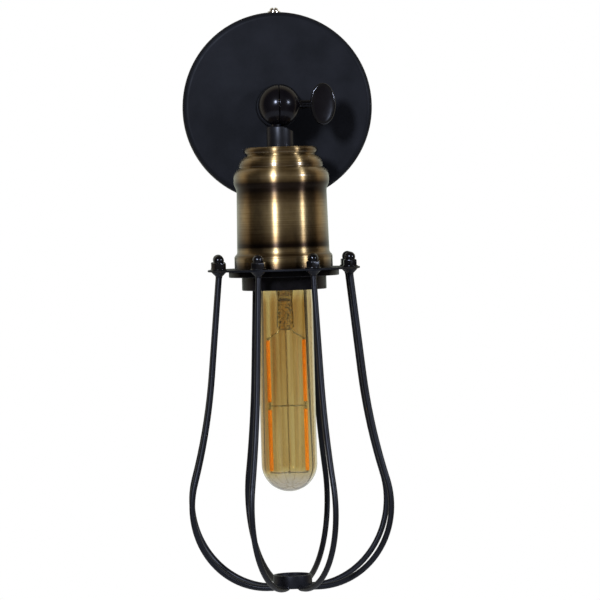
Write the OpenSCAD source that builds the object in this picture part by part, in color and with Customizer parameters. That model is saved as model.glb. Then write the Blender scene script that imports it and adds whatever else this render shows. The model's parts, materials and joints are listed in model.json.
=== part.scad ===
// Cage wall light: a canopy on a wall bracket, a short arm with a locking ball knuckle and
// thumb screw, a brass lamp holder, an eight-wire cage and a tubular filament bulb.
// Millimetres. The origin is on the wall, behind the centre of the canopy. +Z is up and the
// light stands out from the wall towards -Y. It is drawn hanging straight down.

/* [Canopy] */
// Outside diameter of the canopy
canopy_d = 100; // [92:1:130]
// Depth of the canopy, from the wall to its face
canopy_depth = 25; // [23:0.5:28]
// Sheet thickness of the canopy
canopy_wall = 1.2; // [0.8:0.1:1.6]
// Outside rounding between the canopy's face and its side
canopy_edge = 3; // [1.5:0.5:6]

/* [Wall bracket] */
// Width of the strap
strap_w = 25; // [20:1:30]
// Sheet thickness of the strap
strap_t = 2; // [1.5:0.1:3]
// Distance between the centres of the two wall slots
slot_spacing = 60; // [56:1:64]
// Width of a wall slot
slot_w = 4.5; // [3.5:0.1:5.5]
// Length of a wall slot, end to end
slot_length = 14; // [8:1:16]
// Diameter of the hole for the supply cable
cable_hole_d = 16; // [10:1:17]
// Width of the bracket's bent ears
ear_w = 14; // [11:1:18]
// How far the ears reach out from the wall
ear_reach = 18; // [16:0.5:20]
// Thread diameter of the two canopy screws
side_screw_d = 4; // [3:0.5:5]
// Height of the canopy screws above the wall
side_screw_y = 12; // [9:0.5:13]

/* [Arm and knuckle] */
// Distance from the wall to the axis of the hanging lamp
arm_reach = 55; // [54:1:80]
// Diameter of the knuckle's ball
ball_d = 22; // [19:0.5:23]
// Diameter of the two necks that leave the ball
neck_d = 14; // [13:0.5:16]
// Length from the ball's centre to the end of a neck
neck_reach = 21.7; // [19:0.1:26]
// Gap between the two halves of the ball
ball_split = 0.4; // [0.2:0.1:0.8]
// Diameter of the round boss between canopy and knuckle
boss_d = 23; // [18:0.5:30]
// Thread diameter of the tubes that join arm, knuckle and holder
tube_thread_d = 10; // [9:0.5:11]
// Bore of those threaded tubes
tube_bore_d = 7.2; // [6.4:0.1:7.6]
// Thread diameter of the thumb screw
thumb_thread_d = 5; // [4:0.5:6]
// Length of thread that shows between ball and thumb plate
thumb_gap = 5.2; // [4:0.1:10]
// Length of the thumb plate along the screw
thumb_plate_w = 13.1; // [10:0.1:18]
// Height of the thumb plate across the screw
thumb_plate_h = 21.7; // [16:0.1:28]
// Thickness of the thumb plate
thumb_plate_t = 2.6; // [1.6:0.1:4]

/* [Brass shell] */
// Height of the brass shell
shell_h = 62.8; // [60:0.1:80]
// Sheet thickness of the shell
shell_wall = 1; // [0.6:0.1:1.4]
// Diameter of the bead at the top
bead_d = 38.6; // [37:0.1:42]
// Height of the bead
bead_h = 3.7; // [3:0.1:5]
// Diameter of the step under the bead
step_d = 44.1; // [43:0.1:47]
// Height of that step
step_h = 6.8; // [6:0.1:8]
// Diameter of the bulge under the step
bulge_d = 49.6; // [48:0.1:53]
// Height of the bulge above its widest point
bulge_h = 7; // [6:0.1:8]
// Diameter of the body just under the bulge
body_d = 46.7; // [45:0.1:48]
// Diameter of the body at its lower end
body_end_d = 47.9; // [47:0.1:49]
// Diameter of the hem at the foot
hem_d = 51; // [50:0.1:54]
// Height of the straight part of the hem
hem_h = 5.6; // [4:0.1:8]

/* [Lamp holder] */
// Thread diameter of the holder's skirt
skirt_d = 39.5; // [38.5:0.1:40.5]
// Bore of the socket's mouth
mouth_d = 31; // [30:0.1:32]
// Depth of the contact block's face below the top of the shell
socket_floor = 36.3; // [34:0.1:40]
// Thickness of the contact block
block_t = 10; // [8:0.5:11]
// Outside diameter of the shade ring's flange
ring_flange_d = 57.2; // [52:0.1:62]
// Thickness of that flange
ring_flange_t = 3.2; // [2:0.1:5]
// Thickness of the shade ring's body
ring_wall = 2.1; // [1.6:0.1:4]
// Height of the shade ring's body under the flange
ring_body_h = 6.9; // [4:0.1:10]

/* [Cage] */
// Number of wires
wire_count = 8; // [6:2:10]
// Diameter of a wire
wire_d = 3; // [2:0.1:3.6]
// Diameter of the plate that carries the wires
plate_d = 79; // [78:0.5:90]
// Thickness of that plate
plate_t = 1; // [0.8:0.1:2]
// Diameter of the circle of cap nuts
nut_circle_d = 73.2; // [71:0.1:76]
// Width across the flats of a cap nut
nut_af = 6.6; // [5.5:0.1:7]
// Height of a cap nut
nut_h = 7.8; // [6.5:0.1:10]
// Lean of the wires away from the cage's axis, in degrees
wire_lean = 6.2; // [3:0.1:9]
// Largest diameter of the cage, on the wires' centre lines
cage_d = 110.8; // [106:0.1:116]
// Radius of the curve that closes the cage
belly_r = 43.5; // [40:0.5:46]
// Radius of the curve that flares the cage out
flare_r = 295; // [260:5:340]
// Depth of the cage under its plate
cage_depth = 164.7; // [160:0.1:200]
// Outside diameter of the end ring
end_ring_d = 20.2; // [16:0.1:26]
// Height of the end ring
end_ring_h = 6.8; // [4:0.1:9]
// Thickness of the end ring
end_ring_wall = 1.5; // [1:0.1:3]

/* [Bulb] */
// Diameter of the glass
bulb_d = 28.9; // [26:0.1:29.4]
// Length of the bulb over all
bulb_length = 140; // [130:1:150]
// Thickness of the glass
glass_t = 0.8; // [0.6:0.1:1.2]
// Thread diameter of the bulb's screw cap
bulb_cap_d = 26.2; // [26:0.05:26.5]
// Length of one filament
filament_length = 32; // [26:0.5:34]
// Diameter of a filament
filament_d = 2; // [1.2:0.1:2.6]
// Distance between the left and right filaments
filament_spread = 18.6; // [14:0.1:20]

/* [Hidden] */
$fn = 64;

// Clearances between pieces
thread_fit = 0.05; // radial, between mated threads
slide_fit = 0.1; // radial, between pieces that turn or slip over each other
loose_fit = 0.2; // radial, where a tube or screw passes through a plain hole
canopy_fit = 0.3; // between the bracket's ears and the canopy

// The canopy and what is under it
canopy_r = canopy_d / 2;
canopy_in_r = canopy_r - canopy_wall;
ear_z = sqrt(pow(canopy_in_r - canopy_fit, 2) - pow(ear_w / 2, 2));
ear_neck = 6; // length of the narrow part of the strap next to an ear
side_screw_flange_d = 6.8;
side_screw_flange_t = 1;
side_screw_dome_d = 4.6;
side_screw_h = 3; // how far a canopy screw's head stands off the canopy
washer_t = 1;
washer_d = 18;
lock_nut_af = 14;
lock_nut_t = 3;
nut_stub = 1.8; // thread that shows past a lock nut
tube_grip = 7.5; // length of threaded tube inside a neck
block_gap = 1; // from the cable hole to the terminal block
term_size = [27, 11, 13]; // the terminal block's body
term_pitch = 9; // distance between two ways
term_z = cable_hole_d / 2 + block_gap + term_size[2] / 2;
way_r = 1.7; // radius of a way's brass insert
way_bore_r = 1.3; // radius of a way's wire hole
way_y = 5.5; // height of a way's axis above the strap
way_len = 11; // length of a way's brass insert
tower_h = 4; // height of the screw towers on the terminal block
tower_r = 2.6;
tower_bore_r = 1.6;
tower_sink = 0.5; // how far a tower reaches into the block
tower_z = 3.4; // from the middle of the block to a row of towers
insert_pin_r = 1.5;
insert_pin_h = 4.2;
block_hole_d = 3; // thread hole in the strap for the block's screw
block_screw_head_r = 2.1;
block_screw_head_t = 1.4;
screw_end_gap = 0.2; // from the end of a screw to the wall
earth_gap = 5.5; // from the cable hole to the earth screw
earth_z = -(cable_hole_d / 2 + earth_gap);
earth_screw_d = 4;
earth_head_d = 7;
earth_head_t = 2.6;
earth_slot_w = 1;
tag_t = 0.8;
tag_d = 7.6;
tag_neck_w = 3;
tag_neck_len = 4;
tag_neck_sink = 0.6; // how far the neck reaches into the eye
tag_barrel_r = 1.9;
tag_barrel_len = 5;
tag_barrel_x = tag_d / 2 + 2.6;
tag_barrel_y = strap_t + tag_barrel_r + 0.2;
lead_d = 1.9;
lead_gap = 0.1; // between the two leads
lead_side = (lead_d + lead_gap) / 2; // from the middle of a tube to each lead, across
lead_x = (ball_split + lead_d) / 2 + 0.2; // both leads pass the ball's split on one side
lead_sides = 8; // sides of a lead's cross-section
lead_in = 1.5; // length of lead inside a clamp

// The knuckle
ball_r = ball_d / 2;
neck_r = neck_d / 2;
neck_gap = 0.6; // from the ball to the end face of a neck
ball_wall = 1.6;
screw_boss_r = thumb_thread_d / 2 + 1.1; // round the thumb screw inside the ball
neck_link_r = neck_r - 2;
lead_hole_r = 3.75; // where the leads leave the ball
screw_tip = 7; // how far the screw reaches into the far half
screw_pitch = 0.8;
thumb_root = 0.45; // radial depth of the thumb screw's thread
thumb_x = ball_r + thumb_gap;
lead_meet = ball_r + neck_gap / 2; // where the leads outside and inside the ball meet
boss_edge = 1;
boss_len = arm_reach - canopy_depth - neck_reach;
tube_r = tube_thread_d / 2 - thread_fit;
arm_tube_end = canopy_depth - canopy_wall - washer_t - lock_nut_t - nut_stub;

// The lamp holder, measured down from the top of the shell
shell_foot = -shell_h;
bead_r = bead_h / 2;
crease_in = 1.4; // how far the crease under the bead lies inside it
crease_r = bead_d / 2 - crease_in;
step_round = 6.15;
bulge_round = 5.5;
body_round = 6;
hem_round = 2.2;
cap_top_t = 3;
cap_neck_r = crease_r - shell_wall - 0.6;
cap_neck_h = bead_h + step_h - 0.5;
cap_wall = 2.2;
cap_wide_h = cap_neck_h + 3.2;
cap_foot = 21.3;
seat_r = skirt_d / 2 - 2.25; // inside radius of the skirt above its shoulder
cap_spigot_r = seat_r - slide_fit;
spigot_in_r = cap_spigot_r - 2;
block_top = -(socket_floor - block_t);
ring_top = shell_foot - plate_t;
ring_foot = ring_top - ring_flange_t - ring_body_h;
ring_bore_r = skirt_d / 2 + slide_fit;
ring_body_r = ring_bore_r + ring_wall;
ring_edge = 0.4; // height of the bevels on the shade ring
skirt_foot = ring_foot + 1;
holder_tube_end = -(shell_wall + cap_top_t + washer_t + lock_nut_t + nut_stub);
cap_pitch = 3.63; // of the screw cap's thread
cap_amp = 0.45; // half the depth of that thread
shell_gap = 0.35; // between the cap's thread and the holder's
screw_shell_t = 0.4;
screw_shell_h = 18;
screw_shell_in_r = bulb_cap_d / 2 - cap_amp + shell_gap;
contact_gap = 2.5; // from the contact block to the bulb's tip
rivet_r = 1.2;
rivet_head_r = 1.7;
rivet_head_t = 0.5;
rivet_end = 0.6; // how far a rivet stands out of its terminal
rivet_x = screw_shell_in_r - rivet_head_r - 0.4;
shell_tab_r = rivet_x - rivet_head_r - 0.4; // inside radius of the screw shell's tab
shell_tab_a = 110; // the tab spans this angle to each side of its rivet
shell_tab_t = 0.6;
shell_thread_z = -socket_floor - 2; // where the holder's thread starts
strip_w = 5;
strip_t = 0.5;
strip_end = 1.1; // length of strip past its rivet
strip_flat = 3; // from the rivet to the strip's bend
strip_pad = 2.2; // half the length of strip that the bulb's tip rests on
strip_post = 1.1; // from the contact block to the strip at its rivet
strip_z = -socket_floor - strip_post - strip_t;
terminal_t = 1;
terminal_w = 6;
terminal_post = [4.4, 5.2, 5];
terminal_x = rivet_x - rivet_r - 0.8 - terminal_post[0]; // inner face of a terminal's post
terminal_screw_r = 1.2;
terminal_head_r = 2.1;
terminal_head_t = 1.6;
terminal_slot_w = 0.6;
terminal_hole_z = block_top + terminal_t + 1.6;

// The cage, measured down from the top of the shell
plate_foot = shell_foot - plate_t;
nut_circle_r = nut_circle_d / 2;
wire_r = wire_d / 2;
joint_swell = 0.05; // how far a wire's joints stand out of it, radially
collar_d = 7.7;
collar_h = 2.4;
nut_flange_d = 8;
nut_flange_t = 0.7;
nut_dome_r = 2.85;
nut_hex_h = nut_h - nut_dome_r - nut_flange_t;
stub_len = nut_h - nut_dome_r; // of thread above the plate
cage_low = plate_foot - cage_depth;
belly_c = [cage_d / 2 - belly_r, cage_low + belly_r];
lean_from = [nut_circle_r, plate_foot - collar_h];
lean_dir = [sin(wire_lean), -cos(wire_lean)];
lean_side = [cos(wire_lean), sin(wire_lean)];
// Centre of the flare: flare_r off the leaning line and flare_r + belly_r from the belly's centre
to_belly = lean_from + flare_r * lean_side - belly_c;
along = to_belly * lean_dir;
lean_len = -along - sqrt(along * along - to_belly * to_belly + pow(flare_r + belly_r, 2));
flare_c = lean_from + lean_len * lean_dir + flare_r * lean_side;
join_a = atan2(flare_c[1] - belly_c[1], flare_c[0] - belly_c[0]);
end_ring_r = end_ring_d / 2;
end_ring_z = cage_low + end_ring_h / 2 - 0.4;

// The bulb, measured down from the top of the shell
bulb_tip = -(socket_floor + contact_gap);
bulb_foot = bulb_tip - bulb_length;
bulb_r = bulb_d / 2;
tip_h = 1.5;
tip_r = 4.8;
insulator_h = 4;
cap_thread_turns = 4;
cap_thread_h = cap_thread_turns * cap_pitch;
cap_thread_z = bulb_tip - tip_h - insulator_h; // where the cap's thread starts
cap_sheet = 0.4;
cap_root_r = bulb_cap_d / 2 - 2 * cap_amp;
cap_in_r = cap_root_r - cap_sheet;
cap_skirt_r = bulb_cap_d / 2 - 0.2;
cap_bevel = 1; // height of the step from the thread to the plain skirt
cap_eyelet_r = tip_r + 3; // where the cap's metal meets the insulator
cap_mean_r = bulb_cap_d / 2 - cap_amp; // halfway between the thread's root and crest
cap_cone_h = 1.5; // height of the cone above the cap's thread
cap_skirt_h = 6.5;
cap_foot_z = cap_thread_z - cap_thread_h - cap_skirt_h;
glass_neck_r = bulb_cap_d / 2 - 0.7;
neck_in = 3; // length of glass inside the cap
shoulder_round = 4;
filament_gap = 4; // between an upper filament and the one under it
filament_foot = bulb_foot + 10.6;
filament_mid = filament_foot + filament_length + filament_gap / 2;
filament_top = filament_mid + filament_gap / 2 + filament_length;
filament_x = filament_spread / 2;
mount_wire_r = 0.35;
stem_flare_r = glass_neck_r - glass_t - 0.1;
stem_flare_h = 7;
stem_neck_r = 5; // outside radius at the foot of the flare
stem_r = 4;
stem_wall = 0.8;
stem_tube_h = 14;
pinch_w = 9;
pinch_t = 3.2;
pinch_h = 2; // height of the flat end of the pinch
pinch_z = filament_top + 5; // foot of the pinch
wire_in_x = 3.5; // where the upper wires enter the pinch
wire_rise = 1.2; // straight length of wire past a filament's end
wire_drop = 0.6; // straight length of wire under the pinch
bend_swell = 0.03; // how far a bend of the mount wire stands out of it, radially
wire_slope_h = pinch_z - wire_drop - filament_top - wire_rise;
board_t = 1;
board_w = 2 * (cap_in_r - 0.3);

HOLDER_COLOUR = "#1c1c1e";
BLACK = "#23262b";
BRASS = "#8a6a35";
STEEL = "#b8bcc0";

// ---------- shapes that repeat ----------

// Points on an arc round (cx, cy) from angle a0 to a1
function arc(cx, cy, r, a0, a1, n = 8) =
    [for (i = [0 : n]) let (a = a0 + (a1 - a0) * i / n) [cx + r * cos(a), cy + r * sin(a)]];

// A smooth step down from radius r0 to r1 made of two equal arcs of radius rad
function ogee(r0, z0, r1, rad) =
    let (s = r1 < r0 ? 1 : -1, a = acos(1 - abs(r1 - r0) / (2 * rad)), h = rad * sin(a))
    concat(
        [for (i = [0 : 5]) let (t = a * i / 5) [r0 - s * rad * (1 - cos(t)), z0 - rad * sin(t)]],
        [for (i = [4 : -1 : 0]) let (t = a * i / 5)
            [r1 + s * rad * (1 - cos(t)), z0 - 2 * h + rad * sin(t)]]);

function ogee_h(r0, r1, rad) = 2 * rad * sin(acos(1 - abs(r1 - r0) / (2 * rad)));

// Outline of the screw cap's rounded thread from height z0 to z1, eight points a turn.
// Every such thread has a root at cap_thread_z, so the cap's and the holder's run in step.
function thread_line(z0, z1, mean) =
    let (n = ceil(8 * abs(z1 - z0) / cap_pitch))
    [for (i = [0 : n]) let (z = z0 + (z1 - z0) * i / n)
        [mean - cap_amp * cos(360 * (z - cap_thread_z) / cap_pitch), z]];

// Points on a smooth bend that leaves a along the vector out and reaches b along the vector in
function bend(a, out, b, in, n = 8) = [for (i = [0 : n]) let (t = i / n, u = 1 - t)
    u * u * u * a + 3 * u * u * t * (a + out) + 3 * u * t * t * (b - in) + t * t * t * b];

// A round lead swept along points in space, with flat square ends
function unit(v) = v / norm(v);
function tangents(p) = [for (i = [0 : len(p) - 1])
    unit(i == 0 ? p[1] - p[0] : i == len(p) - 1 ? p[i] - p[i - 1]
        : unit(p[i + 1] - p[i]) + unit(p[i] - p[i - 1]))];
// Each ring starts from the last ring's side direction, so the tube doesn't twist
function side_dirs(t, i, u) =
    i == len(t) ? [] : let (v = unit(u - (u * t[i]) * t[i])) concat([v], side_dirs(t, i + 1, v));

module lead(p, first_side, d = lead_d, sides = lead_sides) {
    t = tangents(p);
    u = side_dirs(t, 0, first_side);
    n = len(p);
    rings = [for (i = [0 : n - 1]) let (w = cross(t[i], u[i])) for (k = [0 : sides - 1])
        p[i] + d / 2 * (cos(360 * k / sides) * u[i] + sin(360 * k / sides) * w)];
    walls = [for (i = [0 : n - 2]) for (k = [0 : sides - 1])
        let (a = i * sides + k, b = i * sides + (k + 1) % sides)
        each [[a, a + sides, b], [b, a + sides, b + sides]]];
    start_cap = [for (k = [1 : sides - 2]) [0, k, k + 1]];
    end_cap = [for (k = [1 : sides - 2]) (n - 1) * sides * [1, 1, 1] + [0, k + 1, k]];
    polyhedron(rings, concat(walls, start_cap, end_cap));
}

module ring(r_out, r_in, h) rotate_extrude() translate([r_in, 0]) square([r_out - r_in, h]);

module hex_nut(af, h, bore_r) difference() {
    cylinder(r = af / 2 / cos(30), h = h, $fn = 6);
    translate([0, 0, -1]) cylinder(r = bore_r, h = h + 2);
}

// Draws along -Y from the wall: the child's +Z becomes -Y
module off_wall() rotate([90, 0, 0]) children();
module at_knuckle() translate([0, -arm_reach, 0]) children();
module at_holder() translate([0, -arm_reach, -neck_reach]) children();

// ---------- on the wall ----------

module wall_bracket() color(STEEL) difference() {
    union() {
        translate([-strap_w / 2, -strap_t, -(ear_z - ear_neck)])
            cube([strap_w, strap_t, 2 * (ear_z - ear_neck)]);
        translate([-ear_w / 2, -strap_t, -ear_z]) cube([ear_w, strap_t, 2 * ear_z]);
        for (s = [-1, 1]) translate([-ear_w / 2, -ear_reach, s * (ear_z - strap_t / 2) - strap_t / 2])
            cube([ear_w, ear_reach, strap_t]);
    }
    for (s = [-1, 1]) {
        for (e = [-1, 1]) translate([0, 1, s * slot_spacing / 2 + e * (slot_length - slot_w) / 2])
            off_wall() cylinder(d = slot_w, h = strap_t + 2);
        translate([-slot_w / 2, -strap_t - 1, s * slot_spacing / 2 - (slot_length - slot_w) / 2])
            cube([slot_w, strap_t + 2, slot_length - slot_w]);
        translate([0, -side_screw_y, s * (ear_z - strap_t / 2) - strap_t])
            cylinder(d = side_screw_d, h = 2 * strap_t);
    }
    translate([0, 1, 0]) off_wall() cylinder(d = cable_hole_d, h = strap_t + 2);
    translate([0, 1, earth_z]) off_wall() cylinder(d = earth_screw_d, h = strap_t + 2);
    translate([term_pitch / 2, 1, term_z]) off_wall() cylinder(d = block_hole_d, h = strap_t + 2);
}

module canopy() color(BLACK) difference() {
    off_wall() rotate_extrude($fn = 180) polygon(concat(
        [[tube_thread_d / 2 + loose_fit, canopy_depth]],
        arc(canopy_r - canopy_edge, canopy_depth - canopy_edge, canopy_edge, 90, 0, 6),
        [[canopy_r, 0], [canopy_in_r, 0]],
        arc(canopy_r - canopy_edge, canopy_depth - canopy_edge,
            max(canopy_edge - canopy_wall, 0.2), 0, 90, 5),
        [[tube_thread_d / 2 + loose_fit, canopy_depth - canopy_wall]]));
    for (s = [0, 180]) rotate([0, s, 0]) translate([0, -side_screw_y, canopy_in_r - 2])
        cylinder(d = side_screw_d + 2 * loose_fit, h = canopy_wall + 4);
}

module canopy_screws() color("silver") for (s = [0, 180]) rotate([0, s, 0])
    translate([0, -side_screw_y, 0]) {
        translate([0, 0, ear_z - strap_t - 2])
            cylinder(d = side_screw_d - 2 * thread_fit, h = canopy_r - ear_z + strap_t + 2.2);
        translate([0, 0, canopy_r]) cylinder(d = side_screw_flange_d, h = side_screw_flange_t);
        translate([0, 0, canopy_r + side_screw_flange_t - 0.1])
            cylinder(d = side_screw_dome_d, h = side_screw_h - side_screw_flange_t - 0.9);
        translate([0, 0, canopy_r + side_screw_h - side_screw_dome_d / 2 - 0.2]) intersection() {
            sphere(d = side_screw_dome_d + 0.4);
            translate([0, 0, 0.6]) cylinder(d = side_screw_dome_d, h = side_screw_dome_d);
        }
    }

module terminal_block() color("ivory") difference() {
    union() {
        translate([-term_size[0] / 2, -strap_t - term_size[1] + tower_h, term_z - term_size[2] / 2])
            cube([term_size[0], term_size[1] - tower_h, term_size[2]]);
        at_ways() at_towers() translate([0, 0, strap_t + term_size[1] - tower_h - tower_sink])
            cylinder(r = tower_r, h = tower_h + tower_sink);
    }
    at_ways() {
        translate([0, way_line_y, term_z - term_size[2]])
            cylinder(r = way_r + thread_fit, h = 2 * term_size[2]);
        at_towers() translate([0, 0, strap_t + way_y]) cylinder(r = tower_bore_r, h = term_size[1]);
    }
    translate([term_pitch / 2, 0, term_z]) off_wall()
        cylinder(r = tower_bore_r, h = term_size[1] + strap_t);
}

module at_ways() for (i = [-1 : 1]) translate([i * term_pitch, 0, 0]) children();
module at_towers() for (s = [-1, 1]) translate([0, 0, term_z + s * tower_z]) off_wall() children();

// A brass tube in each way, with the two pins that its clamping screws press on
module terminal_inserts() color(BRASS) at_ways() difference() {
    union() {
        translate([0, way_line_y, term_z - way_len / 2]) cylinder(r = way_r, h = way_len);
        at_towers() translate([0, 0, strap_t + way_y]) cylinder(r = insert_pin_r, h = insert_pin_h);
    }
    translate([0, way_line_y, term_z - way_len]) cylinder(r = way_bore_r, h = 2 * way_len);
}

module block_screw() color("silver") translate([term_pitch / 2, 0, term_z]) off_wall() {
    translate([0, 0, screw_end_gap])
        cylinder(d = block_hole_d - 2 * thread_fit, h = strap_t + term_size[1] - tower_h);
    translate([0, 0, strap_t + term_size[1] - tower_h])
        cylinder(r = block_screw_head_r, h = block_screw_head_t);
}

module earth_screw() color("silver") translate([0, 0, earth_z]) off_wall() difference() {
    union() {
        translate([0, 0, screw_end_gap])
            cylinder(d = earth_screw_d - 2 * thread_fit, h = strap_t + tag_t + earth_head_t / 2);
        translate([0, 0, strap_t + tag_t]) cylinder(d = earth_head_d, h = earth_head_t);
    }
    translate([-earth_head_d, -earth_slot_w / 2, strap_t + tag_t + 0.6 * earth_head_t])
        cube([2 * earth_head_d, earth_slot_w, earth_head_t]);
}

// Ring terminal: an eye under the earth screw and a barrel that holds the lead
module earth_tag() color("goldenrod") translate([0, 0, earth_z]) {
    translate([0, -strap_t, 0]) off_wall() ring(tag_d / 2, earth_screw_d / 2 + loose_fit, tag_t);
    difference() {
        translate([tag_d / 2 - tag_neck_sink, -strap_t - tag_t, -tag_neck_w / 2])
            cube([tag_neck_len, tag_t, tag_neck_w]);
        off_wall() cylinder(d = earth_screw_d + 2 * loose_fit, h = 2 * strap_t + tag_t);
    }
    translate([tag_barrel_x, -tag_barrel_y, 0]) rotate([0, 90, 0])
        ring(tag_barrel_r, lead_d / 2 + loose_fit, tag_barrel_len);
}

// ---------- arm ----------

module arm_boss() color(BLACK) translate([0, -canopy_depth, 0]) off_wall() rotate_extrude($fn = 96)
    polygon(concat(
        [[tube_thread_d / 2 + loose_fit, 0], [boss_d / 2, 0]],
        arc(boss_d / 2 - boss_edge, boss_len - boss_edge, boss_edge, 0, 90, 5),
        [[tube_thread_d / 2 + loose_fit, boss_len]]));

module arm_tube() color(STEEL) translate([0, -arm_tube_end, 0]) off_wall()
    ring(tube_r, tube_bore_d / 2, arm_reach - neck_reach + tube_grip - arm_tube_end);

module arm_washer() color("silver")
    translate([0, -(canopy_depth - canopy_wall - washer_t), 0]) off_wall()
        ring(washer_d / 2, tube_thread_d / 2 + loose_fit, washer_t);

module arm_lock_nut() color(BRASS)
    translate([0, -(canopy_depth - canopy_wall - washer_t - lock_nut_t), 0]) off_wall()
        hex_nut(lock_nut_af, lock_nut_t, tube_thread_d / 2);

// ---------- knuckle ----------

// Half a hollow ball on the side x < 0, with its neck pointing down
module knuckle_half(screw_hole_r, through) difference() {
    union() {
        difference() {
            sphere(r = ball_r);
            sphere(r = ball_r - ball_wall);
        }
        intersection() {
            sphere(r = ball_r - ball_wall / 2);
            rotate([0, -90, 0]) cylinder(r = screw_boss_r, h = ball_r);
        }
        translate([0, 0, -neck_reach]) cylinder(r = neck_r, h = neck_reach - ball_r - neck_gap);
        difference() {
            translate([0, 0, -neck_reach]) cylinder(r = neck_link_r, h = neck_reach - ball_r + 4);
            sphere(r = ball_r - ball_wall);
        }
    }
    // the other half turns in this space
    translate([-ball_split / 2, -ball_d, -ball_r - neck_gap]) cube([ball_d, 2 * ball_d, 2 * ball_d]);
    translate([0, 0, -neck_reach - 1]) cylinder(r = lead_hole_r, h = neck_reach - ball_r + ball_wall + 2.5);
    translate([0, 0, -neck_reach - 1]) cylinder(d = tube_thread_d, h = tube_grip + 1);
    translate([through ? -2 * ball_r : -screw_tip - 0.8, 0, 0]) rotate([0, 90, 0])
        cylinder(r = screw_hole_r, h = 3 * ball_r);
}

module knuckle_arm_half() color(BLACK) at_knuckle() rotate([90, 0, 0]) mirror([1, 0, 0])
    knuckle_half(thumb_thread_d / 2 + slide_fit, true);

module knuckle_lamp_half() color(BLACK) at_knuckle() knuckle_half(thumb_thread_d / 2, false);

module knuckle_washer() color(STEEL) at_knuckle() translate([-ball_split / 2, 0, 0]) rotate([0, 90, 0])
    ring(screw_boss_r, thumb_thread_d / 2 + slide_fit, ball_split);

// Oval outline of the thumb plate, moved in by inset, with its near end on the screw's axis
module thumb_outline(inset) polygon([for (i = [0 : 47]) let (a = 360 * i / 48)
    [thumb_plate_w / 2 + (thumb_plate_w / 2 - inset) * cos(a), (thumb_plate_h / 2 - inset) * sin(a)]]);

module thumb_screw() color(BLACK) at_knuckle() {
    rotate([0, 90, 0]) translate([0, 0, -screw_tip])
        cylinder(d = thumb_thread_d - 2 * thread_fit, h = screw_tip + ball_r + 0.6);
    rotate([0, 90, 0]) rotate_extrude() polygon(concat(
        [[0, ball_r + 0.5]],
        [for (i = [0 : 2 * floor(thumb_gap / screw_pitch) + 2])
            [thumb_thread_d / 2 - (i % 2 == 0 ? thumb_root : thread_fit),
                ball_r + 0.5 + i * screw_pitch / 2]],
        [[0, ball_r + 0.5 + (floor(thumb_gap / screw_pitch) + 1) * screw_pitch]]));
    translate([thumb_x, 0, 0]) rotate([90, 0, 0]) hull() {
        translate([0, 0, -thumb_plate_t / 4]) linear_extrude(thumb_plate_t / 2) thumb_outline(0);
        translate([0, 0, -thumb_plate_t / 2]) linear_extrude(thumb_plate_t) thumb_outline(0.8);
    }
}

// ---------- lamp holder ----------

module holder_tube() color(STEEL) at_holder() translate([0, 0, holder_tube_end])
    ring(tube_r, tube_bore_d / 2, tube_grip - holder_tube_end);

module holder_washer() color("silver") at_holder()
    translate([0, 0, -(shell_wall + cap_top_t + washer_t)])
        ring(washer_d / 2, tube_thread_d / 2 + loose_fit, washer_t);

module holder_lock_nut() color(BRASS) at_holder()
    translate([0, 0, -(shell_wall + cap_top_t + washer_t + lock_nut_t)])
        hex_nut(lock_nut_af, lock_nut_t, tube_thread_d / 2);

// Outline of the turned shell from its top down, moved in by w for the inside
function shell_line(w) = concat(
    arc(bead_d / 2 - bead_r - w, -bead_r, bead_r, 90, -60, 7),
    [[crease_r - w, -bead_h]],
    arc(step_d / 2 - step_round - w, -bead_h - step_round, step_round, 70, 0, 5),
    [[step_d / 2 - 0.3 - w, -bead_h - step_h]],
    arc(bulge_d / 2 - bulge_round - w, -bead_h - step_h - bulge_round * 0.9, bulge_round, 62, 0, 6),
    ogee(bulge_d / 2 - w, -bead_h - step_h - bulge_h, body_d / 2 - w, body_round),
    ogee(body_end_d / 2 - w, -shell_h + hem_h + ogee_h(body_end_d / 2, hem_d / 2, hem_round),
        hem_d / 2 - w, hem_round));

module brass_shell() color(BRASS) at_holder() rotate_extrude($fn = 180) difference() {
    polygon(concat([[0, 0]], shell_line(0), [[hem_d / 2, shell_foot], [0, shell_foot]]));
    polygon(concat([[0, -shell_wall], [bead_d / 2 - bead_r, -shell_wall]],
        [for (p = shell_line(shell_wall)) if (p[1] < -shell_wall - 0.1) p],
        [[hem_d / 2 - shell_wall, shell_foot - 1], [0, shell_foot - 1]]));
    translate([0, -shell_wall - 1]) square([tube_thread_d / 2 + loose_fit, shell_wall + 2]);
}

module holder_cap() color(HOLDER_COLOUR) at_holder() rotate_extrude() polygon([
    [tube_thread_d / 2 + loose_fit, -shell_wall], [cap_neck_r - 1, -shell_wall],
    [cap_neck_r, -shell_wall - 1], [cap_neck_r, -cap_neck_h], [skirt_d / 2 - 0.25, -cap_wide_h],
    [skirt_d / 2 - 0.25, -cap_foot], [cap_spigot_r, -cap_foot], [cap_spigot_r, block_top],
    [spigot_in_r, block_top], [spigot_in_r, -cap_wide_h], [cap_neck_r - cap_wall, -cap_neck_h],
    [cap_neck_r - cap_wall, -shell_wall - cap_top_t],
    [tube_thread_d / 2 + loose_fit, -shell_wall - cap_top_t]]);

module holder_skirt() color(HOLDER_COLOUR) at_holder() rotate_extrude($fn = 120) polygon([
    [seat_r, -cap_foot], [skirt_d / 2, -cap_foot], [skirt_d / 2, skirt_foot + 0.5],
    [skirt_d / 2 - 0.5, skirt_foot], [mouth_d / 2, skirt_foot], [mouth_d / 2, -socket_floor],
    [seat_r, -socket_floor]]);

module contact_block() color("white") at_holder() difference() {
    translate([0, 0, -socket_floor]) cylinder(r = cap_spigot_r, h = block_t);
    for (s = [-1, 1]) translate([s * rivet_x, 0, -socket_floor - 1])
        cylinder(r = rivet_r + thread_fit, h = block_t + 2);
}

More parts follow.
